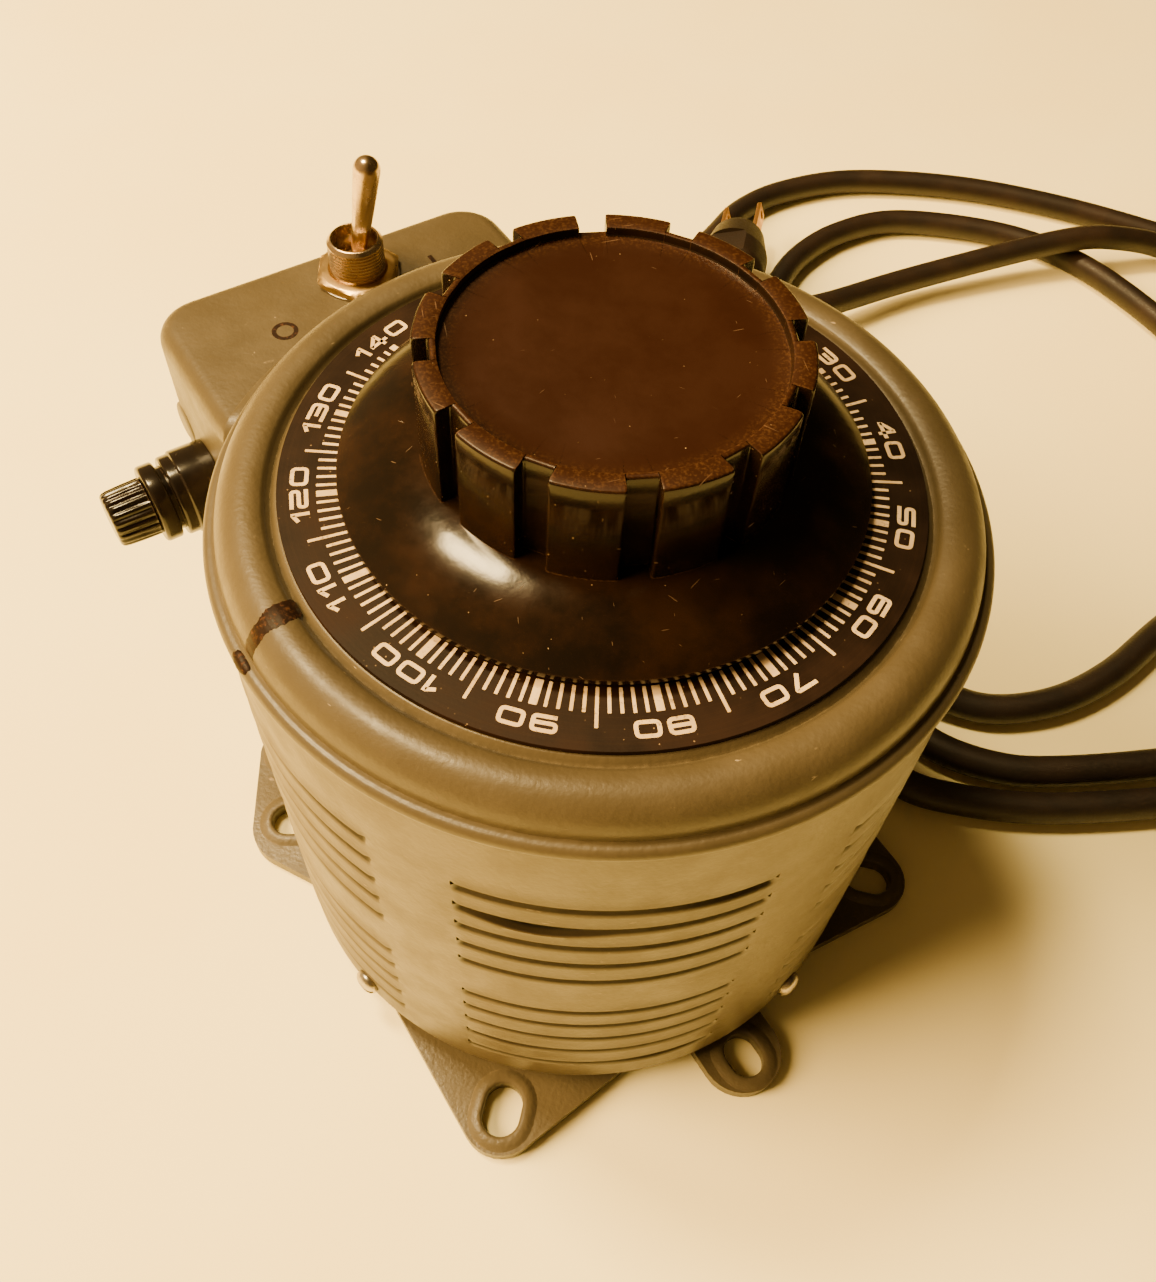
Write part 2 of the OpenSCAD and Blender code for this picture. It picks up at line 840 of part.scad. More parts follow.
// places children on the fuse holder's axis
module on_fuse() {
    in_box() translate([0, fuse_y, fuse_z]) children();
}

module fuse_holder_body() {
    color([0.05, 0.05, 0.05])
        on_fuse() difference() {
            union() {
                rod_x(fuse_x0, fuse_x1, 6.4);
                rod_x(fuse_x0, fuse_x0 + fuse_flange, 8.65);
                rod_x(fuse_x0, box_x0 - fuse_collar - eps, 7.2);
            }
            rod_x(fuse_x0 - 1, fuse_x1 - 4, 5);
        }
}

module fuse_holder_nut() {
    color([0.05, 0.05, 0.05])
        on_fuse() difference() {
            union() {
                rod_x(box_x0 - 7.8, box_x0, 9.4);
                rod_x(box_x0 - fuse_collar, box_x0 - 7, 9);
            }
            rod_x(box_x0 - fuse_collar - 1, box_x0 + 1, 6.45);
        }
}

module fuse_carrier() {
    color("goldenrod")
        on_fuse() difference() {
            rod_x(carrier_x0, -51.8, 4.9);
            rod_x(-61, -51, 3.2);
        }
}

module fuse_glass() {
    color([0.8, 0.9, 0.95]) on_fuse() rod_x(glass_x0, glass_x1, 3);
}

module fuse_ends() {
    color("silver")
        on_fuse() {
            rod_x(carrier_x0, glass_x0, 3.17);
            rod_x(glass_x1, -24.15, 3.17);
        }
}

module fuse_cap() {
    x1 = fuse_x0 - eps;
    color([0.05, 0.05, 0.05])
        on_fuse() {
            difference() {
                rod_x(x1 - 9, x1, 6.5);
                for (k = [0:19]) rotate([18 * k, 0, 0])
                    translate([0, 6.9, 0]) rod_x(x1 - 10, x1 - 1.4, 0.7);
            }
            rod_x(x1 - 1, carrier_x0 - 0.1, 4.95);
        }
}

// ---- outlet and cord ----

module outlet_receptacle() {
    color([0.12, 0.08, 0.06])
        in_box() difference() {
            union() {
                block(outlet_x - 12.95, outlet_x + 12.95, 86, box_back + 0.5,
                    outlet_z - 12.95, outlet_z + 12.95);
                block(outlet_x - 17, outlet_x + 17, box_back, box_back + 2,
                    outlet_z - 18, outlet_z + 18);
            }
            for (s = [-1, 1]) {
                translate([outlet_x + s * blade_gap / 2 - 0.9, 89, outlet_z - 3.6])
                    cube([1.8, 20, 7.2]);
                translate([outlet_x, 105, outlet_z + outlet_screw_c * s]) rotate([90, 0, 0])
                    cylinder(r = 1.6, h = 12);
            }
        }
}

module outlet_contacts() {
    color("goldenrod")
        in_box() for (s = [-1, 1])
            block(outlet_x + s * blade_gap / 2 - 0.85, outlet_x + s * blade_gap / 2 + 0.85,
                89, 92, outlet_z - 3.4, outlet_z + 3.4);
}

module outlet_screws() {
    color("silver")
        in_box() for (s = [-1, 1])
            translate([outlet_x, box_back + 2, outlet_z + outlet_screw_c * s]) rotate([90, 0, 0]) {
                translate([0, 0, -1.2]) cylinder(r = 2.3, h = 1.2);
                translate([0, 0, -0.6]) cylinder(r = 1.4, h = 7.6);
            }
}

module cord_strain_relief() {
    color([0.06, 0.06, 0.06])
        in_box() translate([0, cord_y, cord_z])
            difference() {
                union() {
                    rod_x(box_x1 - 7, box_x1, relief_r - eps);
                    rod_x(box_x1, box_x1 + 3, 8);
                    translate([box_x1 + 2.5, 0, 0]) rotate([0, 90, 0])
                        cylinder(r1 = 7, r2 = 5.4, h = 12);
                }
                rod_x(box_x1 - 9, box_x1 + 16, cord_r + eps);
            }
}

module power_cord() {
    color([0.06, 0.06, 0.06]) sweep(smooth(cord_path, 4), cord_r, 8);
}

module plug_body() {
    color([0.06, 0.06, 0.06])
        translate([plug_x, 0, plug_z]) rotate([0, -plug_roll, 0]) rotate([-90, 0, 0])
            difference() {
                rotate_extrude()
                    polygon([[0, plug_y], [6.6, plug_y], [7, plug_y + 10], [plug_r, plug_y + 16],
                        [plug_r, plug_y + 25], [9.8, plug_face - 1], [9, plug_face],
                        [0, plug_face]]);
                translate([0, 0, plug_y - 1]) cylinder(r = cord_r + 0.2, h = 10);
                for (s = [-1, 1])
                    block(s * blade_gap / 2 - 0.8, s * blade_gap / 2 + 0.8, -3.2, 3.2,
                        plug_face - 10, plug_face + 1);
            }
}

module plug_blades() {
    color("goldenrod")
        translate([plug_x, 0, plug_z]) rotate([0, -plug_roll, 0])
            for (s = [-1, 1]) translate([s * blade_gap / 2, 0, 0])
                difference() {
                    block(-0.75, 0.75, plug_face - 9.5, plug_face + blade_len, -3.15, 3.15);
                    translate([-2, plug_face + blade_len - 3.5, 0]) rod_x(0, 4, 1.6);
                }
}

module lead_wires() {
    color("firebrick") in_box() for (p = lead_paths) sweep(smooth(p, 4), lead_r, 8);
}

// ---- turning parts ----

module knob_profile() {
    polygon(concat(
        [[shaft_r, hub_z], [12, hub_z], [12, dial_z + 5], [38, dial_z + 5],
            [44.8, skirt_z], [knob_skirt_r, skirt_z]],
        arc([dome_c, dome_z], dome_r, 52.2, 80.2, 10),
        [[knob_r, knob_top - 0.6], [knob_r - 0.6, knob_top], [recess_in, knob_top],
            [recess_in, knob_top - recess_d], [0, knob_top - recess_d],
            [0, shaft_top], [shaft_r, shaft_top]]
    ));
}

module knob() {
    color([0.05, 0.05, 0.05])
        on_rotor() difference() {
            rotate_extrude() knob_profile();
            for (k = [0:knob_grooves - 1]) rotate([0, 0, 360 / knob_grooves * k])
                block(groove_r, 40, -groove_w / 2, groove_w / 2, groove_z, knob_top + 1);
            block(recess_in - 3, 33, -groove_w / 2, groove_w / 2, knob_top - recess_d,
                knob_top + 1);
            radial_rod(-60, set_screw_z, 2, 33, 2.05);
        }
}

module knob_set_screw() {
    color("silver")
        difference() {
            radial_rod(set_screw_az, set_screw_z, shaft_r + 0.02, 11, 2);
            rotate([0, 0, set_screw_az]) translate([9, -3, set_screw_z - 0.4])
                cube([4, 6, 0.8]);
        }
}

module shaft() {
    color("silver") cylinder_between(shaft_r, 3, shaft_top - 0.1);
}

// clamping collar between two heights
module collar(z0, z1) {
    difference() {
        ring(shaft_r, 9, z0, z1);
        radial_rod(0, (z0 + z1) / 2, 2, 12, 1.55);
    }
}

module shaft_collars() {
    color("silver") for (z = collar_z) collar(z[0], z[1]);
}

module collar_set_screws() {
    color("dimgray")
        for (z = collar_z) radial_rod(0, (z[0] + z[1]) / 2, shaft_r + 0.02, 8.6, 1.5);
}

module brush_rotor() {
    color("lightgray")
        on_rotor() difference() {
            union() {
                cylinder_between(hub_r, clamp_z + clamp_t + 2.1, hub_top);
                cylinder_between(57, rotor_z, rotor_z + rotor_t);
                ring_part(28, 36, rotor_z + rotor_t - 0.5, hub_top,
                    lug_az - pointer_az - lug_half, lug_az - pointer_az + lug_half);
            }
            cylinder_between(shaft_r, 90, 130);
            block(brush_r - 7, brush_r + 7, -4.5, 4.5, 100, 130);
            for (a = [60:60:300]) rotate([0, 0, a]) rod([46, 0], 6, 100, 130);
        }
}

module collector_ring() {
    color("goldenrod") ring(16, 24, rotor_z + rotor_t, rotor_z + rotor_t + 1.5);
}

module brush_holder() {
    color("goldenrod")
        on_rotor() difference() {
            union() {
                block(brush_r - 7, brush_r + 7, -4.5, 4.5, holder_z0, holder_z1);
                block(brush_r - 9, brush_r + 9, -6.5, 6.5, rotor_z + rotor_t,
                    rotor_z + rotor_t + 1);
            }
            block(brush_r - brush_x / 2 - eps, brush_r + brush_x / 2 + eps,
                -brush_y / 2 - eps, brush_y / 2 + eps, 90, spring_top);
        }
}

module carbon_brush() {
    color([0.15, 0.15, 0.16])
        on_rotor() block(brush_r - brush_x / 2, brush_r + brush_x / 2,
            -brush_y / 2, brush_y / 2, coil_top + track_t, brush_top);
}

module brush_spring() {
    turns = 6;
    step = (spring_top - brush_top) / turns;
    color("silver")
        on_rotor() translate([brush_r, 0, brush_top]) rotate_extrude()
            polygon(concat(
                [for (k = [0:turns - 1]) for (s = [0, 1]) [1.8 + 0.5 * s, step * (k + s / 2)]],
                [[1.8, step * turns]],
                [for (k = [turns - 1:-1:0]) for (s = [1, 0]) [1.2 + 0.5 * s, step * (k + s / 2)]]
            ));
}

base_casting();
ventilated_shell();
top_cover();
dial_plate();
dial_screws();
shell_screws();
coil_seat_ring();
lower_core_insulator();
upper_core_insulator();
core_stack();
copper_winding();
brush_track();
coil_clamp_plate();
coil_clamp_bolts();
lower_bushing();
upper_bushing();
stop_post();
contact_block();
contact_leaf();
saddle_gasket();
box_saddle();
saddle_screws();
saddle_nuts();
terminal_box();
box_floor();
box_screws();
terminal_strip();
terminal_screws();
switch_body();
switch_bushing();
switch_washer();
switch_nut();
fuse_holder_body();
fuse_holder_nut();
outlet_receptacle();
outlet_contacts();
outlet_screws();
cord_strain_relief();
power_cord();
plug_body();
plug_blades();
lead_wires();
knob();
knob_set_screw();
shaft();
shaft_collars();
collar_set_screws();
brush_rotor();
collector_ring();
brush_holder();
carbon_brush();
brush_spring();
toggle_lever();
switch_rocker();
fuse_carrier();
fuse_glass();
fuse_ends();
fuse_cap();
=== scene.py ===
import json
import math
import random

import bmesh
import bpy
from mathutils import Matrix, Vector


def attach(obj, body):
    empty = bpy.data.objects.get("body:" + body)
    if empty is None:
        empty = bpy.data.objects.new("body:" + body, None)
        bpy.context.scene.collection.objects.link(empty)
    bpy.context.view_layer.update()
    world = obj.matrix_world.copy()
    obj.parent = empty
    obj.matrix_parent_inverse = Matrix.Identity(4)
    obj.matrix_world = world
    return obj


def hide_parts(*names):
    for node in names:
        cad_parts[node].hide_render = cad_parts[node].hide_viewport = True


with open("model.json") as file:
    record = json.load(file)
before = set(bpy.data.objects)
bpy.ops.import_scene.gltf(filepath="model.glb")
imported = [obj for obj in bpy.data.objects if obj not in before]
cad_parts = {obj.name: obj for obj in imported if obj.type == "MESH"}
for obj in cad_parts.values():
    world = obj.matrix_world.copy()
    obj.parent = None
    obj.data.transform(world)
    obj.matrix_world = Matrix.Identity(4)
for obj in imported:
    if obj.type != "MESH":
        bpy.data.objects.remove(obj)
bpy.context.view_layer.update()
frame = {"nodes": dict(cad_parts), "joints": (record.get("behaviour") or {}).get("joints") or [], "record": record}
random.seed(7)

MM = 0.001
TURN = 2 * math.pi


# ---- main sizes, in millimetres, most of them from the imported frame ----

def node_box(name, turn=0.0):
    """Lowest and highest corner of a CAD node, in axes turned about Z by turn degrees."""
    back = Matrix.Rotation(math.radians(-turn), 3, "Z")
    points = [back @ v.co for v in frame["nodes"][name].data.vertices]
    low = [min(p[i] for p in points) / MM for i in range(3)]
    high = [max(p[i] for p in points) / MM for i in range(3)]
    return low, high


def middle_of(low, high):
    """Centre of a box."""
    return [(a + b) / 2 for a, b in zip(low, high)]


def joint_place(name):
    """Pivot of a joint in millimetres."""
    joint = [j for j in frame["joints"] if j["name"] == name][0]
    return [c / MM for c in joint["pos_m"]]


BOX_TURN = 45.0
POINTER_AZ = 109.3
LEVER_LEAN = 12.0
CORD_R = 4.4
CORD_SIDES = 8
BLADE_GAP = 12.7
SHELL_LOW, SHELL_HIGH = node_box("ventilated_shell")
SHELL_R = SHELL_HIGH[0]
SHELL_TOP = SHELL_HIGH[2]
PLATFORM_Z = SHELL_LOW[2]
DIAL_Z = node_box("dial_plate")[1][2]
FLOOR_Z = node_box("dial_plate")[0][2]
KNOB_LOW, KNOB_HIGH = node_box("knob", POINTER_AZ)
KNOB_TOP = KNOB_HIGH[2]
SKIRT_R = KNOB_HIGH[0]
BOX_LOW, BOX_HIGH = node_box("terminal_box", BOX_TURN)
SADDLE_LOW, SADDLE_HIGH = node_box("box_saddle", BOX_TURN)
SADDLE_R = SADDLE_HIGH[1]
_, FUSE_Y, FUSE_Z = middle_of(*node_box("fuse_cap", BOX_TURN))
NUT_LOW, NUT_HIGH = node_box("switch_nut", BOX_TURN)
SWITCH_X, SWITCH_Y, _ = middle_of(NUT_LOW, NUT_HIGH)
RELIEF_LOW, RELIEF_HIGH = node_box("cord_strain_relief", BOX_TURN)
_, RELIEF_Y, RELIEF_Z = middle_of(RELIEF_LOW, RELIEF_HIGH)
OUTLET_X, _, OUTLET_Z = middle_of(*node_box("outlet_receptacle", BOX_TURN))
PLUG_LOW, PLUG_HIGH = node_box("plug_body")

BOX_AXES = Matrix.Rotation(math.radians(BOX_TURN), 4, "Z")


# ---- points, outlines and meshes ----

def polar(r, az):
    """Point at a radius and an azimuth in degrees."""
    a = math.radians(az)
    return (r * math.cos(a), r * math.sin(a))


def azimuth(p):
    """Azimuth of a point, in degrees."""
    return math.degrees(math.atan2(p[1], p[0]))


def spin(degrees, axis="Z", size=4):
    """Rotation about an axis."""
    return Matrix.Rotation(math.radians(degrees), size, axis)


def arc(centre, r, a0, a1, steps):
    """Points along an arc, both ends included."""
    points = []
    for k in range(steps + 1):
        x, y = polar(r, a0 + (a1 - a0) * k / steps)
        points.append((centre[0] + x, centre[1] + y))
    return points


def smoothstep(t):
    """Soft step from 0 to 1."""
    t = max(0.0, min(1.0, t))
    return t * t * (3 - 2 * t)


def fillet(points, radii, steps=4, closed=True):
    """Line with its corners rounded; radii is one number or one for each point."""
    n = len(points)
    if not isinstance(radii, (list, tuple)):
        radii = [radii] * n
    out = []
    for i in range(n):
        p = Vector(points[i])
        if radii[i] <= 0 or (not closed and i in (0, n - 1)):
            out.append(tuple(p))
            continue
        a = Vector(points[i - 1]) - p
        b = Vector(points[(i + 1) % n]) - p
        if a.length < 1e-6 or b.length < 1e-6:
            out.append(tuple(p))
            continue
        half = a.angle(b) / 2
        if half > math.radians(86):
            out.append(tuple(p))
            continue
        reach = min(radii[i] / math.tan(half), a.length * 0.48, b.length * 0.48)
        start = p + a.normalized() * reach
        end = p + b.normalized() * reach
        for k in range(steps + 1):
            t = k / steps
            out.append(tuple(start * (1 - t) ** 2 + p * 2 * t * (1 - t) + end * t * t))
    return out


def add_ring(bm, points):
    """Vertices for one ring of points in millimetres."""
    return [bm.verts.new([c * MM for c in p]) for p in points]


def bridge(bm, a, b, around=True):
    """Faces between two rings; a ring of one vertex makes a fan."""
    n = max(len(a), len(b))
    for k in range(n if around else n - 1):
        m = (k + 1) % n
        corners = []
        for v in (a[k % len(a)], a[m % len(a)], b[m % len(b)], b[k % len(b)]):
            if v not in corners:
                corners.append(v)
        if len(corners) > 2:
            bm.faces.new(corners)


def loft(bm, rings, around=True, closed=False, caps=False):
    """Skin over rings given as lists of points in millimetres."""
    made = [add_ring(bm, r) for r in rings]
    for a, b in zip(made, made[1:]):
        bridge(bm, a, b, around)
    if closed:
        bridge(bm, made[-1], made[0], around)
    if caps:
        bm.faces.new(made[0])
        bm.faces.new(made[-1])
    return made


def turned(bm, profile, steps=160, closed=True):
    """Solid of revolution about Z from (r, z) pairs."""
    rings = []
    for r, z in profile:
        if r < 1e-6:
            rings.append([(0, 0, z)])
        else:
            rings.append([polar(r, 360 * k / steps) + (z,) for k in range(steps)])
    loft(bm, rings, True, closed and profile[0][0] > 1e-6)


def prism(bm, outline, z0, z1):
    """Upright solid on a flat outline."""
    low = add_ring(bm, [p + (z0,) for p in outline])
    high = add_ring(bm, [p + (z1,) for p in outline])
    bridge(bm, low, high)
    bm.faces.new(low)
    bm.faces.new(high)


def divided(outline, longest):
    """Closed outline with each side cut into equal steps of about a given length."""
    out = []
    for a, b in zip(outline, outline[1:] + outline[:1]):
        steps = max(1, int(math.dist(a, b) / longest))
        for k in range(steps):
            t = k / steps
            out.append((a[0] + (b[0] - a[0]) * t, a[1] + (b[1] - a[1]) * t))
    return out


def shade(mesh, angle=32.0):
    """Smooth shading with sharp edges kept."""
    bm = bmesh.new()
    bm.from_mesh(mesh)
    limit = math.radians(angle)
    for f in bm.faces:
        f.smooth = True
    for e in bm.edges:
        e.smooth = len(e.link_faces) == 2 and e.calc_face_angle(0.0) < limit
    bm.to_mesh(mesh)
    bm.free()


def placed(name, data):
    """New object in the scene."""
    obj = bpy.data.objects.new(name, data)
    bpy.context.scene.collection.objects.link(obj)
    return obj


def new_object(name, bm, place=None):
    """Object from a bmesh, with its normals pointing outwards."""
    if place is not None:
        bmesh.ops.transform(bm, matrix=place, verts=bm.verts)
    bmesh.ops.recalc_face_normals(bm, faces=bm.faces)
    mesh = bpy.data.meshes.new(name)
    bm.to_mesh(mesh)
    bm.free()
    return placed(name, mesh)


def turned_object(name, profile, steps, closed=True, place=None):
    """Object turned about the Z axis of its placing matrix."""
    bm = bmesh.new()
    turned(bm, profile, steps, closed)
    return new_object(name, bm, place)


def settle(obj):
    """Turns an object's modifiers into plain mesh."""
    bpy.context.view_layer.update()
    seen = obj.evaluated_get(bpy.context.evaluated_depsgraph_get())
    mesh = bpy.data.meshes.new_from_object(seen)
    obj.modifiers.clear()
    obj.data = mesh


def thicken(obj, thickness, even=False):
    """Gives a surface a sheet's thickness, inwards."""
    sheet = obj.modifiers.new("sheet", "SOLIDIFY")
    sheet.thickness = thickness * MM
    sheet.offset = -1.0
    sheet.use_even_offset = even
    settle(obj)


def carve(obj, cutters):
    """Cuts the cutters out of an object."""
    for c in cutters:
        cut = obj.modifiers.new("cut", "BOOLEAN")
        cut.object = c
        cut.operation = "DIFFERENCE"
        cut.solver = "EXACT"
    settle(obj)
    for c in cutters:
        bpy.data.objects.remove(c)


def piece(obj, body, material, replaces=(), angle=32.0):
    """Shading, material and body of a finished piece."""
    shade(obj.data, angle)
    obj.data.materials.clear()
    obj.data.materials.append(material)
    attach(obj, body)
    if replaces:
        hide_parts(*replaces)
    return obj


def rod_cutter(place, r, z0, z1, sides=48):
    """Round cutter along the Z axis of a placing matrix."""
    bm = bmesh.new()
    prism(bm, [polar(r, 360 * k / sides) for k in range(sides)], z0, z1)
    return new_object("cutter", bm, place)


def block_cutter(place, low, high):
    """Square cutter."""
    bm = bmesh.new()
    outline = [(low[0], low[1]), (high[0], low[1]), (high[0], high[1]), (low[0], high[1])]
    prism(bm, outline, low[2], high[2])
    return new_object("cutter", bm, place)


def axes(x, y, z, at):
    """Placing matrix with the given axes, in the box's own frame."""
    m = Matrix((x, y, z)).transposed().to_4x4()
    m.translation = Vector(at) * MM
    return BOX_AXES @ m


FUSE_AXES = axes((0, -1, 0), (0, 0, 1), (-1, 0, 0), (0, FUSE_Y, FUSE_Z))
RELIEF_AXES = axes((0, 1, 0), (0, 0, 1), (1, 0, 0), (0, RELIEF_Y, RELIEF_Z))
SWITCH_AXES = axes((1, 0, 0), (0, 1, 0), (0, 0, 1), (SWITCH_X, SWITCH_Y, 0))


# ---- materials ----

class Shader:
    """A node material under construction."""

    def __init__(self, name, roughness=0.5, metallic=0.0):
        self.mat = bpy.data.materials.new(name)
        self.mat.use_nodes = True
        self.tree = self.mat.node_tree
        self.bsdf = self.tree.nodes["Principled BSDF"]
        self.set(self.bsdf, "Roughness", roughness)
        self.set(self.bsdf, "Metallic", metallic)
        self.place = self.node("TexCoord")["Object"]

    def set(self, node, key, value):
        """Sets an input from a number, a colour or another node's output."""
        if isinstance(value, bpy.types.NodeSocket):
            self.tree.links.new(value, node.inputs[key])
            return
        if isinstance(value, tuple) and len(value) == 3 and node.inputs[key].type == "RGBA":
            value = value + (1.0,)
        node.inputs[key].default_value = value

    def node(self, kind, inputs=None, **settings):
        """Outputs of a new node with some of its inputs and settings filled in."""
        node = self.tree.nodes.new("ShaderNode" + kind)
        for key, value in settings.items():
            setattr(node, key, value)
        for key, value in (inputs or {}).items():
            self.set(node, key, value)
        return node.outputs

    def stretched(self, x, y, z, where=None):
        """Coordinates scaled along each axis."""
        inputs = {0: where or self.place, 1: (x, y, z)}
        return self.node("VectorMath", inputs, operation="MULTIPLY")[0]

    def noise(self, size, detail=3.0, rough=0.55, warp=0.0, where=None):
        """Noise with features of about size millimetres."""
        inputs = {"Vector": where or self.place, "Scale": 1000.0 / size, "Detail": detail,
                  "Roughness": rough, "Distortion": warp}
        return self.node("TexNoise", inputs)["Fac"]

    def cells(self, size, feature="F1"):
        """Distances to scattered points about size millimetres apart."""
        inputs = {"Vector": self.place, "Scale": 1000.0 / size}
        return self.node("TexVoronoi", inputs, feature=feature)["Distance"]

    def fit(self, value, low, high, to_low=0.0, to_high=1.0):
        """Maps a value from one range to another, clamped and soft."""
        inputs = {"Value": value, "From Min": low, "From Max": high, "To Min": to_low,
                  "To Max": to_high}
        return self.node("MapRange", inputs, interpolation_type="SMOOTHSTEP")[0]

    def calc(self, operation, a, b=0.0):
        """Result of an operation on one or two values."""
        return self.node("Math", {0: a, 1: b}, operation=operation)[0]

    def times(self, a, b):
        """Product of two values."""
        return self.calc("MULTIPLY", a, b)

    def mix(self, share, a, b):
        """Mix of two colours."""
        return self.node("Mix", {0: share, 6: a, 7: b}, data_type="RGBA")[2]

    def tint(self, base, mask, share, colour):
        """Colour laid over a base where a mask is, up to a share."""
        return self.mix(self.times(mask, share), base, colour)

    def grit(self, size, low, high, patch, start, full):
        """Mask of grains about size millimetres apart, in patches."""
        return self.times(self.fit(self.cells(size), low, high, 1.0, 0.0),
                          self.fit(self.noise(patch), start, full))

    def split(self, where=None):
        """X, Y and Z of the object coordinates, in metres, or of another vector."""
        return self.node("SeparateXYZ", {0: where or self.place})

    def radius(self):
        """Distance from the shaft, in metres."""
        x, y, _ = self.split()
        return self.calc("SQRT", self.calc("ADD", self.times(x, x), self.times(y, y)))

    def azimuth(self):
        """Angle round the shaft, in radians."""
        x, y, _ = self.split()
        return self.calc("ARCTAN2", y, x)

    def edges(self, size, low=0.02, high=0.16):
        """Mask that is 1 on edges, within about size millimetres."""
        soft = self.node("Bevel", {"Radius": size * MM}, samples=4)[0]
        plain = self.node("NewGeometry")["Normal"]
        dot = self.node("VectorMath", {0: soft, 1: plain}, operation="DOT_PRODUCT")["Value"]
        return self.fit(self.calc("SUBTRACT", 1.0, dot), low, high)

    def bump(self, height, depth, below=None):
        """Bump of a depth in millimetres."""
        inputs = {"Height": height, "Distance": depth * MM, "Strength": 1.0}
        if below is not None:
            inputs["Normal"] = below
        return self.node("Bump", inputs)[0]

    def finish(self, colour, roughness, normal, **more):
        """The material, with its colour, roughness, normal and other inputs set."""
        inputs = {"Base Color": colour, "Roughness": roughness, "Normal": normal}
        inputs.update((key.replace("_", " "), value) for key, value in more.items())
        for key, value in inputs.items():
            self.set(self.bsdf, key, value)
        return self.mat


def paint_material(name, colour, worn, pitted=1.0, louvre_shade=0.0):
    """Stoved paint: orange peel, dust, rubbed edges, chips, and painted shade in the pressed-in sheet below the
    slits, near black inside them.
    """
    s = Shader(name)
    broad = s.noise(38.0, 3.0)
    cloud = s.noise(9.0, 4.0, 0.6)
    grain = s.noise(0.9, 2.0, 0.5)
    dark = tuple(c * 0.88 for c in colour)
    pale = tuple(min(1.0, c * 1.08) for c in colour)
    base = s.mix(s.fit(broad, 0.35, 0.68), dark, pale)
    base = s.mix(s.fit(cloud, 0.46, 0.80, 0.0, 0.3), base, worn)
    base = s.mix(s.fit(grain, 0.30, 0.72, 0.0, 0.22), base, dark)
    scratch = s.noise(1.1, 2.0, 0.5, 0.4, s.stretched(0.35, 0.35, 2.6))
    chips = s.times(s.fit(scratch, 0.69, 0.72), s.fit(cloud, 0.54, 0.68))
    base = s.tint(base, chips, 0.5, (0.42, 0.33, 0.20))
    specks = s.grit(3.4, 0.055, 0.09, 14.0, 0.50, 0.62)
    base = s.tint(base, specks, 0.8, (0.07, 0.045, 0.025))
    rubbed = s.times(s.edges(0.7), s.fit(s.noise(2.2, 4.0), 0.42, 0.62))
    base = s.tint(base, rubbed, 0.16, (0.34, 0.26, 0.15))
    # Painted shade: the paint darkens where the sheet is pressed in under each slit's lip, and goes near black
    # further in, where the slits open.
    if louvre_shade:
        r = s.radius()
        sunk_shade_mask = s.fit(r, (SHELL_R - 0.58) * MM, (SHELL_R - 0.32) * MM, 1.0, 0.0)
        base = s.tint(base, sunk_shade_mask, louvre_shade, (0.012, 0.0085, 0.004))
        slit_shade_mask = s.fit(r, (SHELL_R - 1.7) * MM, (SHELL_R - 1.2) * MM, 1.0, 0.0)
        base = s.mix(slit_shade_mask, base, (0.002, 0.0014, 0.0008))
    rough = s.calc("ADD", s.fit(cloud, 0.3, 0.75, 0.34, 0.50), s.times(grain, 0.06))
    peel = s.bump(s.noise(1.1, 2.0, 0.5), 0.07 * pitted)
    peel = s.bump(s.calc("ADD", grain, chips), 0.020 * pitted, peel)
    return s.finish(base, rough, peel, Coat_Weight=0.12, Coat_Roughness=0.3)


def moulding_material(name, gloss, dust):
    """Black phenolic moulding: dust in the hollows, fine scratches, greyed edges."""
    s = Shader(name)
    broad = s.noise(16.0, 4.0)
    fine = s.noise(0.5, 3.0, 0.6)
    base = s.mix(s.fit(broad, 0.35, 0.7), (0.005, 0.0035, 0.0025), (0.013, 0.008, 0.005))
    lines = s.calc("MAXIMUM", *[
        s.fit(s.noise(0.9, 1.0, 0.4, 0.3, s.stretched(x, y, 1.0)), 0.80, 0.82)
        for x, y in ((0.18, 2.6), (2.4, 0.22))])
    base = s.tint(base, lines, 0.35 * dust, (0.30, 0.20, 0.12))
    grit = s.grit(1.5, 0.07, 0.12, 7.0, 0.50, 0.66)
    base = s.tint(base, grit, 0.6 * dust, (0.42, 0.30, 0.19))
    rubbed = s.times(s.edges(0.6, 0.03, 0.2), s.fit(fine, 0.35, 0.6))
    base = s.tint(base, rubbed, 0.45, (0.17, 0.105, 0.065))
    rough = s.calc("ADD", s.fit(broad, 0.3, 0.7, gloss, gloss + 0.12),
                   s.times(s.calc("MAXIMUM", lines, grit), 0.25))
    normal = s.bump(s.noise(3.0, 3.0), 0.02)
    normal = s.bump(s.calc("SUBTRACT", fine, lines), 0.006, normal)
    return s.finish(base, rough, normal)


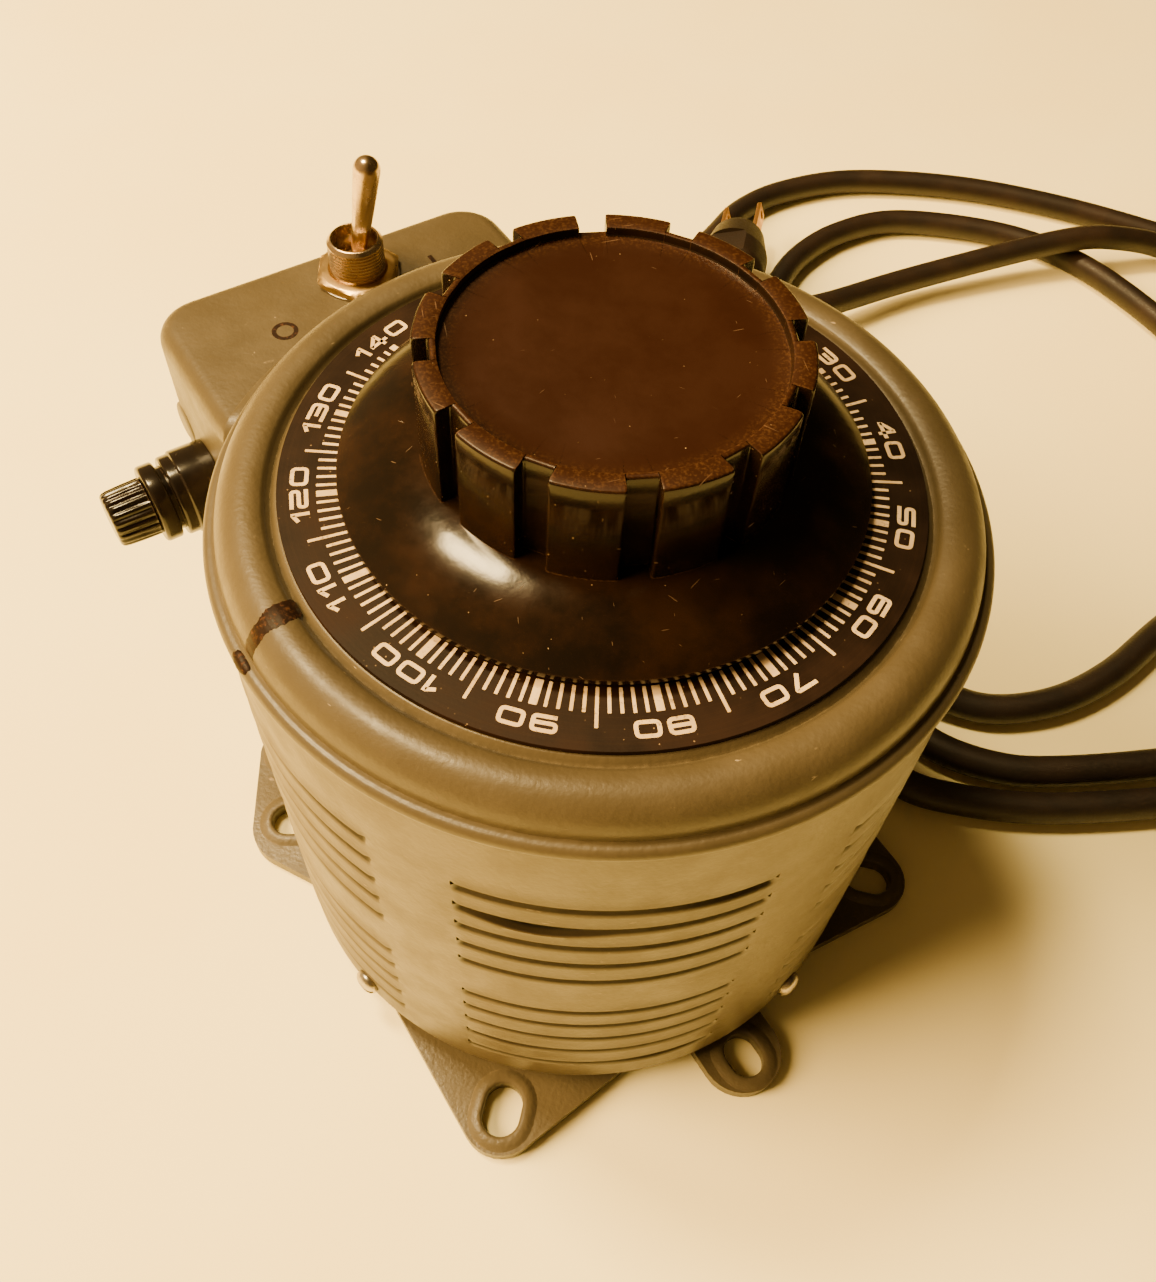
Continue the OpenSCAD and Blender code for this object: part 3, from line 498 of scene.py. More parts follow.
def knob_material():
    """The knob's moulding, with a film of brown dust in the hollow of its top."""
    s = Shader("mat_knob")
    r = s.radius()
    height = s.split()[2]
    broad = s.noise(13.0, 5.0, 0.65)
    fine = s.noise(0.45, 3.0, 0.6)
    facing = s.split(s.node("NewGeometry")["Normal"])[2]
    in_top = s.times(s.fit(facing, 0.75, 0.95),
                     s.fit(height, (KNOB_TOP - 3.0) * MM, (KNOB_TOP - 2.2) * MM))
    base = s.mix(s.fit(broad, 0.35, 0.7), (0.004, 0.0025, 0.0015), (0.012, 0.0055, 0.0025))
    film = s.mix(s.fit(broad, 0.32, 0.66), (0.0150, 0.0042, 0.0012), (0.0175, 0.0050, 0.0015))
    base = s.tint(base, in_top, 0.9, film)
    corner = s.times(s.fit(r, 0.0243, 0.0279), in_top)
    base = s.tint(base, corner, s.fit(fine, 0.45, 0.7, 0.05, 0.6), (0.06, 0.028, 0.012))
    marks = None
    for angle, size in ((18, 0.16), (67, 0.2), (118, 0.14), (151, 0.22)):
        turned_place = s.node("VectorRotate", {"Vector": s.place, "Angle": math.radians(angle)},
                              rotation_type="Z_AXIS")[0]
        where = s.stretched(size, 2.8, 1.0, turned_place)
        line = s.fit(s.noise(1.3, 1.0, 0.4, 0.25, where), 0.80, 0.815)
        marks = line if marks is None else s.calc("MAXIMUM", marks, line)
    base = s.tint(base, marks, 0.16, (0.34, 0.21, 0.12))
    grit = s.grit(1.6, 0.05, 0.085, 5.0, 0.55, 0.68)
    base = s.tint(base, grit, 0.6, (0.50, 0.35, 0.20))
    rubbed = s.times(s.edges(0.55, 0.03, 0.2), s.fit(fine, 0.35, 0.6))
    base = s.tint(base, rubbed, 0.3, (0.12, 0.06, 0.03))
    rough = s.calc("ADD", s.fit(broad, 0.3, 0.7, 0.11, 0.18), s.times(in_top, 0.22))
    rough = s.calc("ADD", rough, s.times(s.calc("MAXIMUM", marks, grit), 0.3))
    normal = s.bump(s.noise(2.6, 4.0), 0.018)
    normal = s.bump(s.calc("SUBTRACT", fine, marks), 0.006, normal)
    return s.finish(base, rough, normal, Specular_IOR_Level=0.3)


def dial_material():
    """Black enamelled dial: satin, dusty, rubbed in rings by turning."""
    s = Shader("mat_dial")
    rings = s.node("TexNoise", {"W": s.times(s.radius(), 1600.0), "Detail": 3.0},
                   noise_dimensions="1D")["Fac"]
    broad = s.noise(12.0, 4.0)
    fine = s.noise(0.55, 3.0)
    base = s.mix(s.fit(broad, 0.32, 0.72), (0.007, 0.0035, 0.002), (0.014, 0.006, 0.003))
    base = s.mix(s.fit(rings, 0.60, 0.72, 0.0, 0.25), base, (0.035, 0.018, 0.009))
    grit = s.grit(1.4, 0.07, 0.12, 6.0, 0.52, 0.66)
    base = s.tint(base, grit, 0.55, (0.40, 0.27, 0.15))
    rough = s.calc("ADD", s.fit(broad, 0.3, 0.7, 0.36, 0.50), s.times(fine, 0.1))
    return s.finish(base, rough, s.bump(fine, 0.012), Specular_IOR_Level=0.2)


def print_material():
    """Cream printing, thin and rubbed in places."""
    s = Shader("mat_print")
    wear = s.noise(0.7, 4.0, 0.65)
    broad = s.noise(8.0, 2.0)
    base = s.mix(s.fit(broad, 0.3, 0.7), (0.50, 0.36, 0.20), (0.68, 0.52, 0.33))
    base = s.mix(s.fit(wear, 0.56, 0.70, 0.0, 0.7), base, (0.10, 0.062, 0.035))
    return s.finish(base, s.fit(wear, 0.3, 0.7, 0.42, 0.62), s.bump(wear, 0.012))


def metal_material(name, colour, tarnish, roughness, brushed=None, amount=0.5):
    """Metal with tarnish, fine scratches and handling marks."""
    s = Shader(name, metallic=1.0)
    broad = s.noise(5.0, 5.0, 0.65)
    where = s.stretched(*brushed) if brushed else None
    fine = s.noise(0.35, 3.0, 0.6, 0.0, where)
    base = s.mix(s.fit(broad, 0.40, 0.75, 0.0, amount), colour, tarnish)
    base = s.mix(s.fit(fine, 0.55, 0.75, 0.0, 0.25), base, tuple(c * 0.6 for c in colour))
    pits = s.fit(s.cells(1.6), 0.05, 0.10, 1.0, 0.0)
    base = s.tint(base, pits, 0.4 * amount, tarnish)
    rough = s.calc("ADD", s.fit(broad, 0.3, 0.75, roughness, roughness + 0.18),
                   s.times(fine, 0.08))
    normal = s.bump(s.calc("SUBTRACT", fine, pits), 0.008)
    return s.finish(base, rough, normal)


def copper_material():
    """Enamelled copper turns, side by side round the core."""
    s = Shader("mat_copper", metallic=1.0)
    turns = s.calc("SINE", s.times(s.azimuth(), 220.0))
    broad = s.noise(9.0, 3.0)
    base = s.mix(s.fit(broad, 0.35, 0.7), (0.42, 0.16, 0.06), (0.66, 0.28, 0.12))
    base = s.mix(s.fit(turns, -1.0, -0.55, 0.75, 0.0), base, (0.06, 0.025, 0.012))
    return s.finish(base, s.fit(broad, 0.3, 0.7, 0.28, 0.42), s.bump(turns, 0.35))


def board_material(name, dark, pale, layered):
    """Pressed board: fibres and faint layers."""
    s = Shader(name)
    where = s.stretched(1.0, 1.0, 6.0 if layered else 1.0)
    fibre = s.noise(0.8, 5.0, 0.7, 0.3, where)
    broad = s.noise(11.0, 3.0)
    base = s.mix(s.fit(fibre, 0.3, 0.72), dark, pale)
    base = s.mix(s.fit(broad, 0.45, 0.75, 0.0, 0.4), base, dark)
    return s.finish(base, s.fit(fibre, 0.3, 0.7, 0.50, 0.72), s.bump(fibre, 0.05))


def rubber_material(name, pale):
    """Aged black rubber: dull, dusty, with fine cracks and scuffs."""
    s = Shader(name)
    broad = s.noise(14.0, 4.0)
    fine = s.noise(0.6, 4.0, 0.65)
    cracks = s.fit(s.cells(1.3, "DISTANCE_TO_EDGE"), 0.0, 0.05, 1.0, 0.0)
    cracks = s.times(cracks, s.fit(broad, 0.50, 0.70))
    base = s.mix(s.fit(broad, 0.34, 0.72), (0.008, 0.005, 0.0035), pale)
    base = s.mix(s.fit(fine, 0.56, 0.78, 0.0, 0.5), base, (0.045, 0.026, 0.015))
    rough = s.fit(fine, 0.3, 0.7, 0.42, 0.62)
    normal = s.bump(s.calc("SUBTRACT", fine, s.times(cracks, 0.6)), 0.04)
    return s.finish(base, rough, normal)


def glass_material():
    """Clear fuse tube, slightly smoky."""
    s = Shader("mat_glass", 0.04)
    haze = s.noise(3.0, 3.0)
    return s.finish((0.92, 0.96, 0.95), s.fit(haze, 0.4, 0.8, 0.02, 0.14),
                    s.bump(haze, 0.01), Transmission_Weight=1.0, IOR=1.48)


def wire_material():
    """Cloth-and-lacquer covered hook-up wire."""
    s = Shader("mat_wire")
    weave = s.noise(0.5, 2.0, 0.5, 0.0, s.stretched(1.0, 1.0, 2.5))
    base = s.mix(s.fit(weave, 0.35, 0.65), (0.20, 0.022, 0.012), (0.36, 0.055, 0.03))
    return s.finish(base, s.fit(weave, 0.3, 0.7, 0.40, 0.60), s.bump(weave, 0.05))


def ink_material():
    """A worn line of brown-black marker."""
    s = Shader("mat_ink")
    wear = s.noise(0.8, 4.0, 0.7)
    base = s.mix(s.fit(wear, 0.52, 0.68), (0.010, 0.004, 0.002), (0.055, 0.022, 0.009))
    return s.finish(base, s.fit(wear, 0.3, 0.7, 0.40, 0.60), s.bump(wear, 0.01),
                    Specular_IOR_Level=0.25)


def floor_material():
    """Pale cream paper, very slightly uneven."""
    s = Shader("mat_floor", 0.7)
    broad = s.noise(160.0, 3.0)
    grain = s.noise(0.8, 3.0)
    base = s.mix(s.fit(broad, 0.35, 0.65), (0.97, 0.86, 0.44), (0.98, 0.90, 0.50))
    return s.finish(base, s.fit(grain, 0.3, 0.7, 0.62, 0.78), s.bump(grain, 0.02))


PAINT = paint_material("mat_case_paint", (0.063, 0.049, 0.026), (0.086, 0.065, 0.034))
# The shell's paint also carries painted shade in its pressed-in louvres.
SHELL_PAINT_AND_SHADE = paint_material("mat_shell_paint_and_shade", (0.065, 0.049, 0.025), (0.088, 0.065, 0.033),
                             1.0, 0.8)
BASE_PAINT = paint_material("mat_base_paint", (0.080, 0.064, 0.036), (0.110, 0.086, 0.046), 2.0)
MOULDING = moulding_material("mat_moulding", 0.16, 0.6)
KNOB_BLACK = knob_material()
DIAL_BLACK = dial_material()
PRINT = print_material()
NICKEL = metal_material("mat_nickel", (0.74, 0.58, 0.38), (0.36, 0.24, 0.12), 0.14)
ZINC = metal_material("mat_zinc", (0.62, 0.57, 0.48), (0.30, 0.22, 0.14), 0.26)
STEEL = metal_material("mat_core_steel", (0.40, 0.38, 0.35), (0.20, 0.14, 0.09), 0.34,
                       (1.0, 1.0, 0.1))
BRASS = metal_material("mat_brass", (0.78, 0.55, 0.24), (0.36, 0.22, 0.09), 0.22)
BLADE_BRASS = metal_material("mat_blade_brass", (0.74, 0.42, 0.15), (0.36, 0.17, 0.06), 0.26,
                             (1.0, 0.15, 1.0))
ALLOY = metal_material("mat_alloy", (0.66, 0.64, 0.60), (0.36, 0.31, 0.24), 0.38)
COPPER = copper_material()
BOARD = board_material("mat_board", (0.085, 0.042, 0.018), (0.19, 0.10, 0.048), True)
CARD = board_material("mat_card", (0.34, 0.24, 0.12), (0.55, 0.42, 0.24), False)
RUBBER = rubber_material("mat_rubber", (0.016, 0.009, 0.0055))
CARBON = board_material("mat_carbon", (0.018, 0.017, 0.018), (0.055, 0.052, 0.052), False)
GLASS = glass_material()
WIRE = wire_material()
INK = ink_material()

SLOT_MATERIALS = {
    "grey_paint": BASE_PAINT, "black_dial": DIAL_BLACK, "black_moulding": MOULDING,
    "brown_board": BOARD, "card_insulation": CARD, "core_steel": STEEL, "copper": COPPER,
    "zinc_steel": ZINC, "polished_steel": NICKEL, "brass": BRASS, "light_alloy": ALLOY,
    "black_rubber": RUBBER, "carbon": CARBON, "clear_glass": GLASS, "wire_insulation": WIRE,
}


def paint_cad_nodes():
    """Gives every CAD node the material of its slot."""
    for part in frame["record"]["subparts"]:
        node = frame["nodes"][part["node"]]
        node.data.materials.clear()
        node.data.materials.append(SLOT_MATERIALS[part["material_slot"]])


def soften(node, width, segments=2):
    """Rounds a CAD node's edges with modifiers, leaving its mesh as it is."""
    obj = frame["nodes"][node]
    weld = obj.modifiers.new("weld", "WELD")
    weld.merge_threshold = 0.000004
    bevel = obj.modifiers.new("bevel", "BEVEL")
    bevel.width = width * MM
    bevel.segments = segments
    bevel.limit_method = "ANGLE"
    bevel.angle_limit = math.radians(40)
    bevel.harden_normals = False


# ---- ventilated shell ----

SLIT_Z = (107.5, 99.3, 90.9, 82.4, 73.8, 55.5, 47.3, 38.8, 30.2, 21.0)
SLIT_GROUPS = (-75, -15, 45, 105, 165, 225)
HALF_SPAN = 23.25
# rows round a slit: height, share of the pressed-in depth, of the lip, and of the wear
SLIT_ROWS = ((2.6, 0, 0, 0), (1.6, 0, 0.6, 0), (0.95, 0, 1, 0), (-0.80, 1, 0, 1),
             (-1.25, 1, 0, 0.98), (-1.7, 0.9, 0, 0.94), (-2.15, 0.66, 0, 0.88),
             (-2.55, 0.32, 0, 0.8), (-2.95, 0.08, 0, 0.7), (-3.5, 0, 0, 0.5))
OPEN_ROW = 2
PRESS = 1.15
LIP = 0.3
SHEET = 0.9
# hole for the leads, and the limits of the flange that covers it
WIRE_HOLE = (135, 90.0, 6.0)
FLANGE_AZ = (96, 179)
FLANGE_Z = (58, 126)
# bent strips: slit, middle and half width of the bend in degrees, extra drop
BENT = ((1, -86, 14, 2.7), (0, -58, 14, 1.0), (9, -62, 12, 0.9),
        (8, -90, 9, 0.7), (1, 20, 16, 0.7),
        (4, -10, 10, 0.35), (7, 215, 14, 0.5))


def shell_azimuths():
    """Azimuths of the shell's columns, close together at the ends of the slits."""
    ends = [0.0, 0.3, 0.6, 0.95, 1.4, 2.1]
    inner = [3.0 + k * (2 * HALF_SPAN - 6.0) / 40 for k in range(41)]
    tail = [2 * HALF_SPAN - e for e in reversed(ends)]
    gap = 60 - 2 * HALF_SPAN
    plain = [2 * HALF_SPAN + gap * k / 9 for k in range(1, 9)]
    out = []
    for group in SLIT_GROUPS:
        out += [(group - HALF_SPAN + a, a, group) for a in ends + inner + tail + plain]
    return out


def slit_share(a):
    """How far a column lies inside a slit, from 0 to 1."""
    if a > 2 * HALF_SPAN:
        return 0.0
    return smoothstep(min(a, 2 * HALF_SPAN - a) / 1.1)


def slit_wear(index, az):
    """Extra drop of a bent strip, in millimetres."""
    drop = 0.0
    for slit, middle, half, amount in BENT:
        away = abs((az - middle + 180) % 360 - 180)
        if slit == index and away < half:
            drop += amount * smoothstep(1 - away / half)
    return drop


def shell_rows():
    """Rows of the shell from the foot up: (slit, row, height, radius)."""
    rows = [(None, 0, PLATFORM_Z, SHELL_R - 7)]
    for r, z in arc((SHELL_R - 4, PLATFORM_Z + 4), 4, -90, 0, 10):
        rows.append((None, 0, z, r))
    for i in range(len(SLIT_Z) - 1, -1, -1):
        for k in range(len(SLIT_ROWS) - 1, -1, -1):
            rows.append((i, k, SLIT_Z[i] + SLIT_ROWS[k][0], SHELL_R))
        if i == 5:
            rows += [(None, 0, z, SHELL_R) for z in (61.0, 65.0, 69.0)]
    rows += [(None, 0, z, SHELL_R) for z in (113, 116.5, 120, 123.5, 126.5, SHELL_TOP - 0.25)]
    rows.append((None, 0, SHELL_TOP, SHELL_R - 0.2))
    return rows


def shell_point(row, az, inside):
    """Point of the pressed shell at a row and a column."""
    slit, k, z, r = row
    if slit is not None:
        _, press, lip, wear = SLIT_ROWS[k]
        under_box = (FLANGE_AZ[0] < az % 360 < FLANGE_AZ[1]
                     and FLANGE_Z[0] < z < FLANGE_Z[1])
        drop = slit_wear(slit, az)
        r -= PRESS * press * inside * (1 + 0.2 * drop)
        r += 0 if under_box else LIP * lip * inside
        z -= wear * drop * inside
    dent = 0.10 * math.sin(math.radians(az * 3 + z * 2)) * smoothstep((z - 15) / 30)
    dent *= smoothstep((122 - z) / 12)
    return polar(r - 0.12 + min(0.12, dent), az) + (z,)


def build_shell():
    """Pressed sheet shell with overhanging slits that open through the sheet."""
    bm = bmesh.new()
    columns = shell_azimuths()
    rows = shell_rows()
    shares = [slit_share(a) for _, a, _ in columns]
    grid = [add_ring(bm, [shell_point(row, c[0], w) for c, w in zip(columns, shares)])
            for row in rows]
    n = len(columns)
    hole_az, hole_z, hole_r = WIRE_HOLE
    hole = Vector(polar(SHELL_R, hole_az) + (hole_z,))
    for i in range(len(rows) - 1):
        slit_gap = rows[i][0] is not None and rows[i][1] == OPEN_ROW + 1
        for k in range(n):
            m = (k + 1) % n
            if slit_gap and columns[k][1] < 2 * HALF_SPAN - 0.01:
                continue
            corners = [grid[i][k], grid[i][m], grid[i + 1][m], grid[i + 1][k]]
            middle = sum((v.co for v in corners), Vector()) / 4 / MM
            if (middle - hole).length < hole_r:
                continue
            bm.faces.new(corners)
    obj = new_object("case_shell", bm)
    outward = sum(p.area * p.normal.dot(p.center * Vector((1, 1, 0))) for p in obj.data.polygons)
    if outward < 0:
        obj.data.flip_normals()
    thicken(obj, SHEET)
    return piece(obj, "case", SHELL_PAINT_AND_SHADE, ["ventilated_shell"], 38.0)


# ---- cover ----

ARC_C = 62.5
ARC_R = 6.0
ARC_Z = DIAL_Z - 6.0
COVER_T = 1.2
BEAD = (69.5, DIAL_Z - 8.1)
BEAD_R = 1.4


def build_cover():
    """Spun cover: flat floor, groove, rolled shoulder, crease and bead."""
    outer = [(14, FLOOR_Z), (57.2, FLOOR_Z), (57.45, FLOOR_Z - 0.1), (57.9, FLOOR_Z - 0.75),
             (58.45, FLOOR_Z - 1.15), (58.95, FLOOR_Z - 0.85), (59.2, FLOOR_Z - 0.45)]
    outer += arc((ARC_C, ARC_Z), ARC_R, 120, 2, 22)
    outer += [(68.62, ARC_Z - 0.35), (68.95, ARC_Z - 0.55)]
    outer += arc(BEAD, BEAD_R, 98, -70, 14)
    outer += [(SHELL_R - 0.12, SHELL_TOP + 0.55), (SHELL_R - 0.15, SHELL_TOP + 0.25),
              (SHELL_R - 0.4, SHELL_TOP + 0.05), (68.92, SHELL_TOP), (68.92, 122.2)]
    inner = [(67.75, 122), (67.75, ARC_Z - 1.5)]
    inner += arc((ARC_C, ARC_Z), ARC_R - COVER_T, 0, 120, 16)
    inner += [(59.2, FLOOR_Z - 2), (58.3, FLOOR_Z - COVER_T), (14, FLOOR_Z - COVER_T)]
    obj = turned_object("spun_cover", outer + inner, 360)
    return piece(obj, "case", PAINT, ["top_cover"], 40.0)


def cover_point(phi, az, lift):
    """Point on the rolled shoulder, lifted off the paint."""
    r = ARC_C + (ARC_R + lift) * math.cos(math.radians(phi))
    z = ARC_Z + (ARC_R + lift) * math.sin(math.radians(phi))
    return polar(r, az) + (z,)


def build_ink_mark():
    """An owner's worn pen line across the shoulder, with a blot on the bead."""
    path = ((133, -136.2, 1.6), (127, -136.0, 2.3), (114, -135.6, 2.5), (98, -135.3, 2.5),
            (84, -135.2, 2.3), (74, -135.1, 1.9), (62, -134.8, 1.6), (50, -134.6, 1.6),
            (38, -134.5, 1.55), (26, -134.5, 1.5), (14, -134.5, 1.4), (4, -134.2, 1.3))
    bm = bmesh.new()
    rings = []
    for here, after in zip(path, path[1:]):
        for k in range(4):
            t = k / 4
            phi, az, half = [a + (b - a) * t for a, b in zip(here, after)]
            half = math.degrees(half * (0.92 + 0.16 * random.random()) / 66)
            rings.append([cover_point(phi, az + half * share, lift) for share, lift in
                          ((-1.0, -0.02), (-0.9, 0.05), (0.9, 0.05), (1.0, -0.02))])
    loft(bm, rings, caps=True)
    sizes = [0.9 + 0.2 * random.random() for _ in range(24)]
    rings = []
    for lift, out in ((-0.03, 1.0), (0.12, 0.9), (0.18, 0.6), (0.2, 0.3), (0.2, 0.05)):
        ring = []
        for k in range(24):
            a = TURN * k / 24
            az = -134.9 + math.degrees(2.6 * sizes[k] * out * math.cos(a) / 70.5)
            angle = math.radians(72 + 66 * sizes[k] * out * math.sin(a))
            r = BEAD[0] + (BEAD_R + lift) * math.cos(angle)
            ring.append(polar(r, az) + (BEAD[1] + (BEAD_R + lift) * math.sin(angle),))
        rings.append(ring)
    loft(bm, rings, caps=True)
    obj = new_object("ink_mark", bm)
    return piece(obj, "case", INK, (), 60.0)


# ---- dial ----

DIAL_ZERO = 113.5
DEG_PER_VOLT = 318.0 / 140.0
TICK_IN = 45.5
TICK_OUT = 50.2
LABEL_R = 53.15
GLYPH_H = 2.5
GLYPH_W = 3.6
STROKE = 0.72
GLYPH_GAP = 0.92


def tick_fill(bm, volts, r0, r1, width):
    """Paint in one engraved line."""
    az = DIAL_ZERO - volts * DEG_PER_VOLT
    half = width / 2 + 0.015
    turn = spin(az, size=3)
    outline = fillet([(r0 - 0.01, -half), (r1 + 0.01, -half), (r1 + 0.01, half),
                      (r0 - 0.01, half)], 0.12, 2)
    points = [turn @ Vector(p + (0.0,)) for p in outline]
    prism(bm, [(p.x, p.y) for p in points], DIAL_Z - 0.19, DIAL_Z + 0.035)


def build_ticks():
    """All the dial's lines."""
    bm = bmesh.new()
    for volts in range(141):
        ten = volts % 10 == 0
        five = volts % 5 == 0
        outer = TICK_OUT if ten or not five else 52.9
        tick_fill(bm, volts, TICK_IN, outer, 1.3 if ten else 0.55)
    obj = new_object("dial_marks", bm)
    return piece(obj, "case", PRINT)


def glyph(digit):
    """Strokes of a squarish numeral: (points, closed, corner radius)."""
    w, h = GLYPH_W, GLYPH_H
    s = STROKE / 2
    mid = h / 2
    r = 0.75
    box = [(0, 0), (w, 0), (w, h), (0, h)]
    shapes = {
        "0": [(box, True, r)],
        "1": [([(1.75, h + s), (1.75, -s)], False, 0),
              ([(0.1, h - 0.8), (1.6, h + 0.02)], False, 0)],
        "2": [([(-s, h), (w, h), (w, mid), (0, mid), (0, 0), (w + s, 0)], False, r * 0.8)],
        "3": [([(-s, h), (w, h), (w, 0), (-s, 0)], False, r),
              ([(0.75, mid), (w - s, mid)], False, 0)],
        "4": [([(w * 0.72, -s), (w * 0.72, h + s)], False, 0),
              ([(w * 0.66, h + 0.1), (0.05, 0.75)], False, 0),
              ([(-0.15, 0.68), (w + s, 0.68)], False, 0)],
        "5": [([(w + s, h), (0, h), (0, mid), (w, mid), (w, 0), (-s, 0)], False, r * 0.8)],
        "6": [([(w, h), (0, h), (0, 0), (w, 0), (w, mid + 0.1), (s, mid + 0.1)], False,
               r * 0.8)],
        "7": [([(-s, h), (w, h), (w * 0.42, -s)], False, 0.35)],
        "8": [(box, True, r), ([(s, mid), (w - s, mid)], False, 0)],
        "9": [([(0, 0), (w, 0), (w, h), (0, h), (0, mid - 0.1), (w - s, mid - 0.1)], False,
               r * 0.8)],
    }
    return shapes[digit]


def ribbon(bm, points, closed, width, place, z0, z1):
    """Flat stroke along a line, with a little thickness."""
    n = len(points)
    rings = []
    for i in range(n):
        p = Vector(points[i])
        before = Vector(points[i - 1]) if closed or i > 0 else p
        after = Vector(points[(i + 1) % n]) if closed or i < n - 1 else p
        a = (p - before).normalized() if (p - before).length > 1e-9 else None
        b = (after - p).normalized() if (after - p).length > 1e-9 else None
        a = a or b
        b = b or a
        along = (a + b).normalized()
        side = Vector((-along.y, along.x))
        reach = width / 2 / max(0.55, side.dot(Vector((-a.y, a.x))))
        left = place @ (p + side * reach).to_3d()
        right = place @ (p - side * reach).to_3d()
        rings.append([(left.x, left.y, z0), (left.x, left.y, z1), (right.x, right.y, z1),
                      (right.x, right.y, z0)])
    loft(bm, rings, closed=closed, caps=not closed)


def glyph_width(digit):
    """Width of a numeral with its strokes."""
    return 1.75 + STROKE if digit == "1" else GLYPH_W + STROKE


def write_number(bm, text, az, r, z0, z1):
    """A number set round the dial, its top outwards."""
    total = sum(glyph_width(c) for c in text) + GLYPH_GAP * (len(text) - 1)
    at = -total / 2
    for c in text:
        width = glyph_width(c)
        here = az - math.degrees((at + width / 2) / r)
        shift = Matrix.Translation(((STROKE - width) / 2, r - GLYPH_H / 2, 0))
        place = spin(here - 90) @ shift
        for points, closed, radius in glyph(c):
            line = fillet(points, radius, 4, closed) if radius > 0 else points
            ribbon(bm, line, closed, STROKE, place, z0, z1)
        at += width + GLYPH_GAP


def build_numbers():
    """The dial's numbers, every ten volts."""
    bm = bmesh.new()
    for volts in range(0, 141, 10):
        az = DIAL_ZERO - volts * DEG_PER_VOLT
        write_number(bm, str(volts), az, LABEL_R, DIAL_Z - 0.02, DIAL_Z + 0.04)
    obj = new_object("dial_numbers", bm)
    return piece(obj, "case", PRINT)


# ---- knob ----

KNOB_R = 32.0
GROOVE_R = 29.2
GROOVE_HALF = 2.6
GROOVES = 12
RECESS_R = 28.0
RECESS_D = 1.8
DOME = (26.4, DIAL_Z - 22.8, 32.8)


def dome_height(r):
    """Height of the skirt's dome at a radius."""
    return DOME[1] + math.sqrt(max(0.0, DOME[2] ** 2 - (r - DOME[0]) ** 2))


def knob_section():
    """Outline of the grip: (point, azimuth on the skirt, lies in a groove floor)."""
    edge_x = math.sqrt(KNOB_R ** 2 - GROOVE_HALF ** 2)
    half = math.degrees(math.asin(GROOVE_HALF / KNOB_R))
    corners = [(edge_x, -GROOVE_HALF), (GROOVE_R, -GROOVE_HALF), (GROOVE_R, GROOVE_HALF),
               (edge_x, GROOVE_HALF)]
    lobe = [polar(KNOB_R, half + (30 - 2 * half) * k / 9) for k in range(1, 9)]
    before = polar(KNOB_R, -half - (30 - 2 * half) / 9)
    line = fillet([before] + corners + [lobe[0]], [0, 0.45, 0.4, 0.4, 0.45, 0], 4, False)[1:-1]
    lengths = [0.0]
    for a, b in zip(line, line[1:]):
        lengths.append(lengths[-1] + math.dist(a, b))
    out = []
    start = azimuth(line[0])
    end = azimuth(line[-1])
    for k in range(GROOVES):
        turn = 360 / GROOVES * k
        for p, length in zip(line, lengths):
            skirt = start + (end - start) * length / lengths[-1]
            floor = k == 0 and p[0] < GROOVE_R + 0.2 and abs(p[1]) < GROOVE_HALF - 0.2
            out.append((math.hypot(*p), azimuth(p) + turn, skirt + turn, floor))
        for p in lobe:
            out.append((KNOB_R, azimuth(p) + turn, azimuth(p) + turn, False))
    return out


def build_knob():
    """Moulded knob: domed skirt, twelve grooves, hollow top, pointer notch."""
    turn = POINTER_AZ
    section = knob_section()
    notch_z = KNOB_TOP - RECESS_D

    def circle(r, z):
        return [polar(r, s[2] + turn) + (z,) for s in section]

    rings = [[(0, 0, 164.0)], circle(4.78, 164.0), circle(4.78, DIAL_Z + 0.7),
             circle(12, DIAL_Z + 0.7), circle(12, DIAL_Z + 5), circle(38, DIAL_Z + 5),
             circle(44.8, DIAL_Z + 2), circle(46.2, DIAL_Z + 2), circle(46.45, DIAL_Z + 2.25),
             circle(SKIRT_R, DIAL_Z + 2.6)]
    for k in range(15):
        t = 1 - k / 14
        ring = []
        for r, az, skirt, _ in section:
            a = Vector(polar(r, az + turn))
            b = Vector(polar(46.42, skirt + turn))
            p = a * (1 - t) + b * t
            z = dome_height(p.length)
            ring.append((p.x, p.y, z))
        rings.append(ring)
    for z, inset in ((148.6, 0.0), (152, 0.0), (158, 0.0), (163, 0.0), (KNOB_TOP - 0.75, 0.0),
                     (KNOB_TOP - 0.32, 0.10), (KNOB_TOP - 0.08, 0.34), (KNOB_TOP, 0.62)):
        ring = []
        for r, az, _, floor in section:
            top = min(z, notch_z) if floor else z
            ring.append(polar(r - inset, az + turn) + (top,))
        rings.append(ring)
    for r, z in ((28.30, KNOB_TOP), (28.08, KNOB_TOP - 0.08), (RECESS_R, KNOB_TOP - 0.3),
                 (RECESS_R, notch_z + 0.35), (27.85, notch_z + 0.1), (27.4, notch_z)):
        ring = []
        for s in section:
            ring.append(polar(r, s[1] + turn) + (min(z, notch_z) if s[3] else z,))
        rings.append(ring)
    for r in (22.0, 15.0, 8.0, 3.0):
        rings.append(circle(r, notch_z - 0.12 * (1 - r / 27.4)))
    rings.append([(0, 0, notch_z - 0.12)])
    bm = bmesh.new()
    loft(bm, rings)
    obj = new_object("turn_knob", bm)
    side = spin(turn - 60) @ Matrix.Translation((0, 0, (DIAL_Z + 20) * MM)) @ spin(90, "Y")
    carve(obj, [rod_cutter(side, 2.05, 3.0, 34.0)])
    return piece(obj, "rotor", KNOB_BLACK, ["knob"], 30.0)


# ---- terminal box ----

BOX_T = 1.6
BOX_CORNER = 10.0
BOX_EDGE = 4.0
BOX_FRONT_R = SADDLE_R + 0.03
SADDLE_T = 2.8
SADDLE_AZ = (51.5, 133.5)


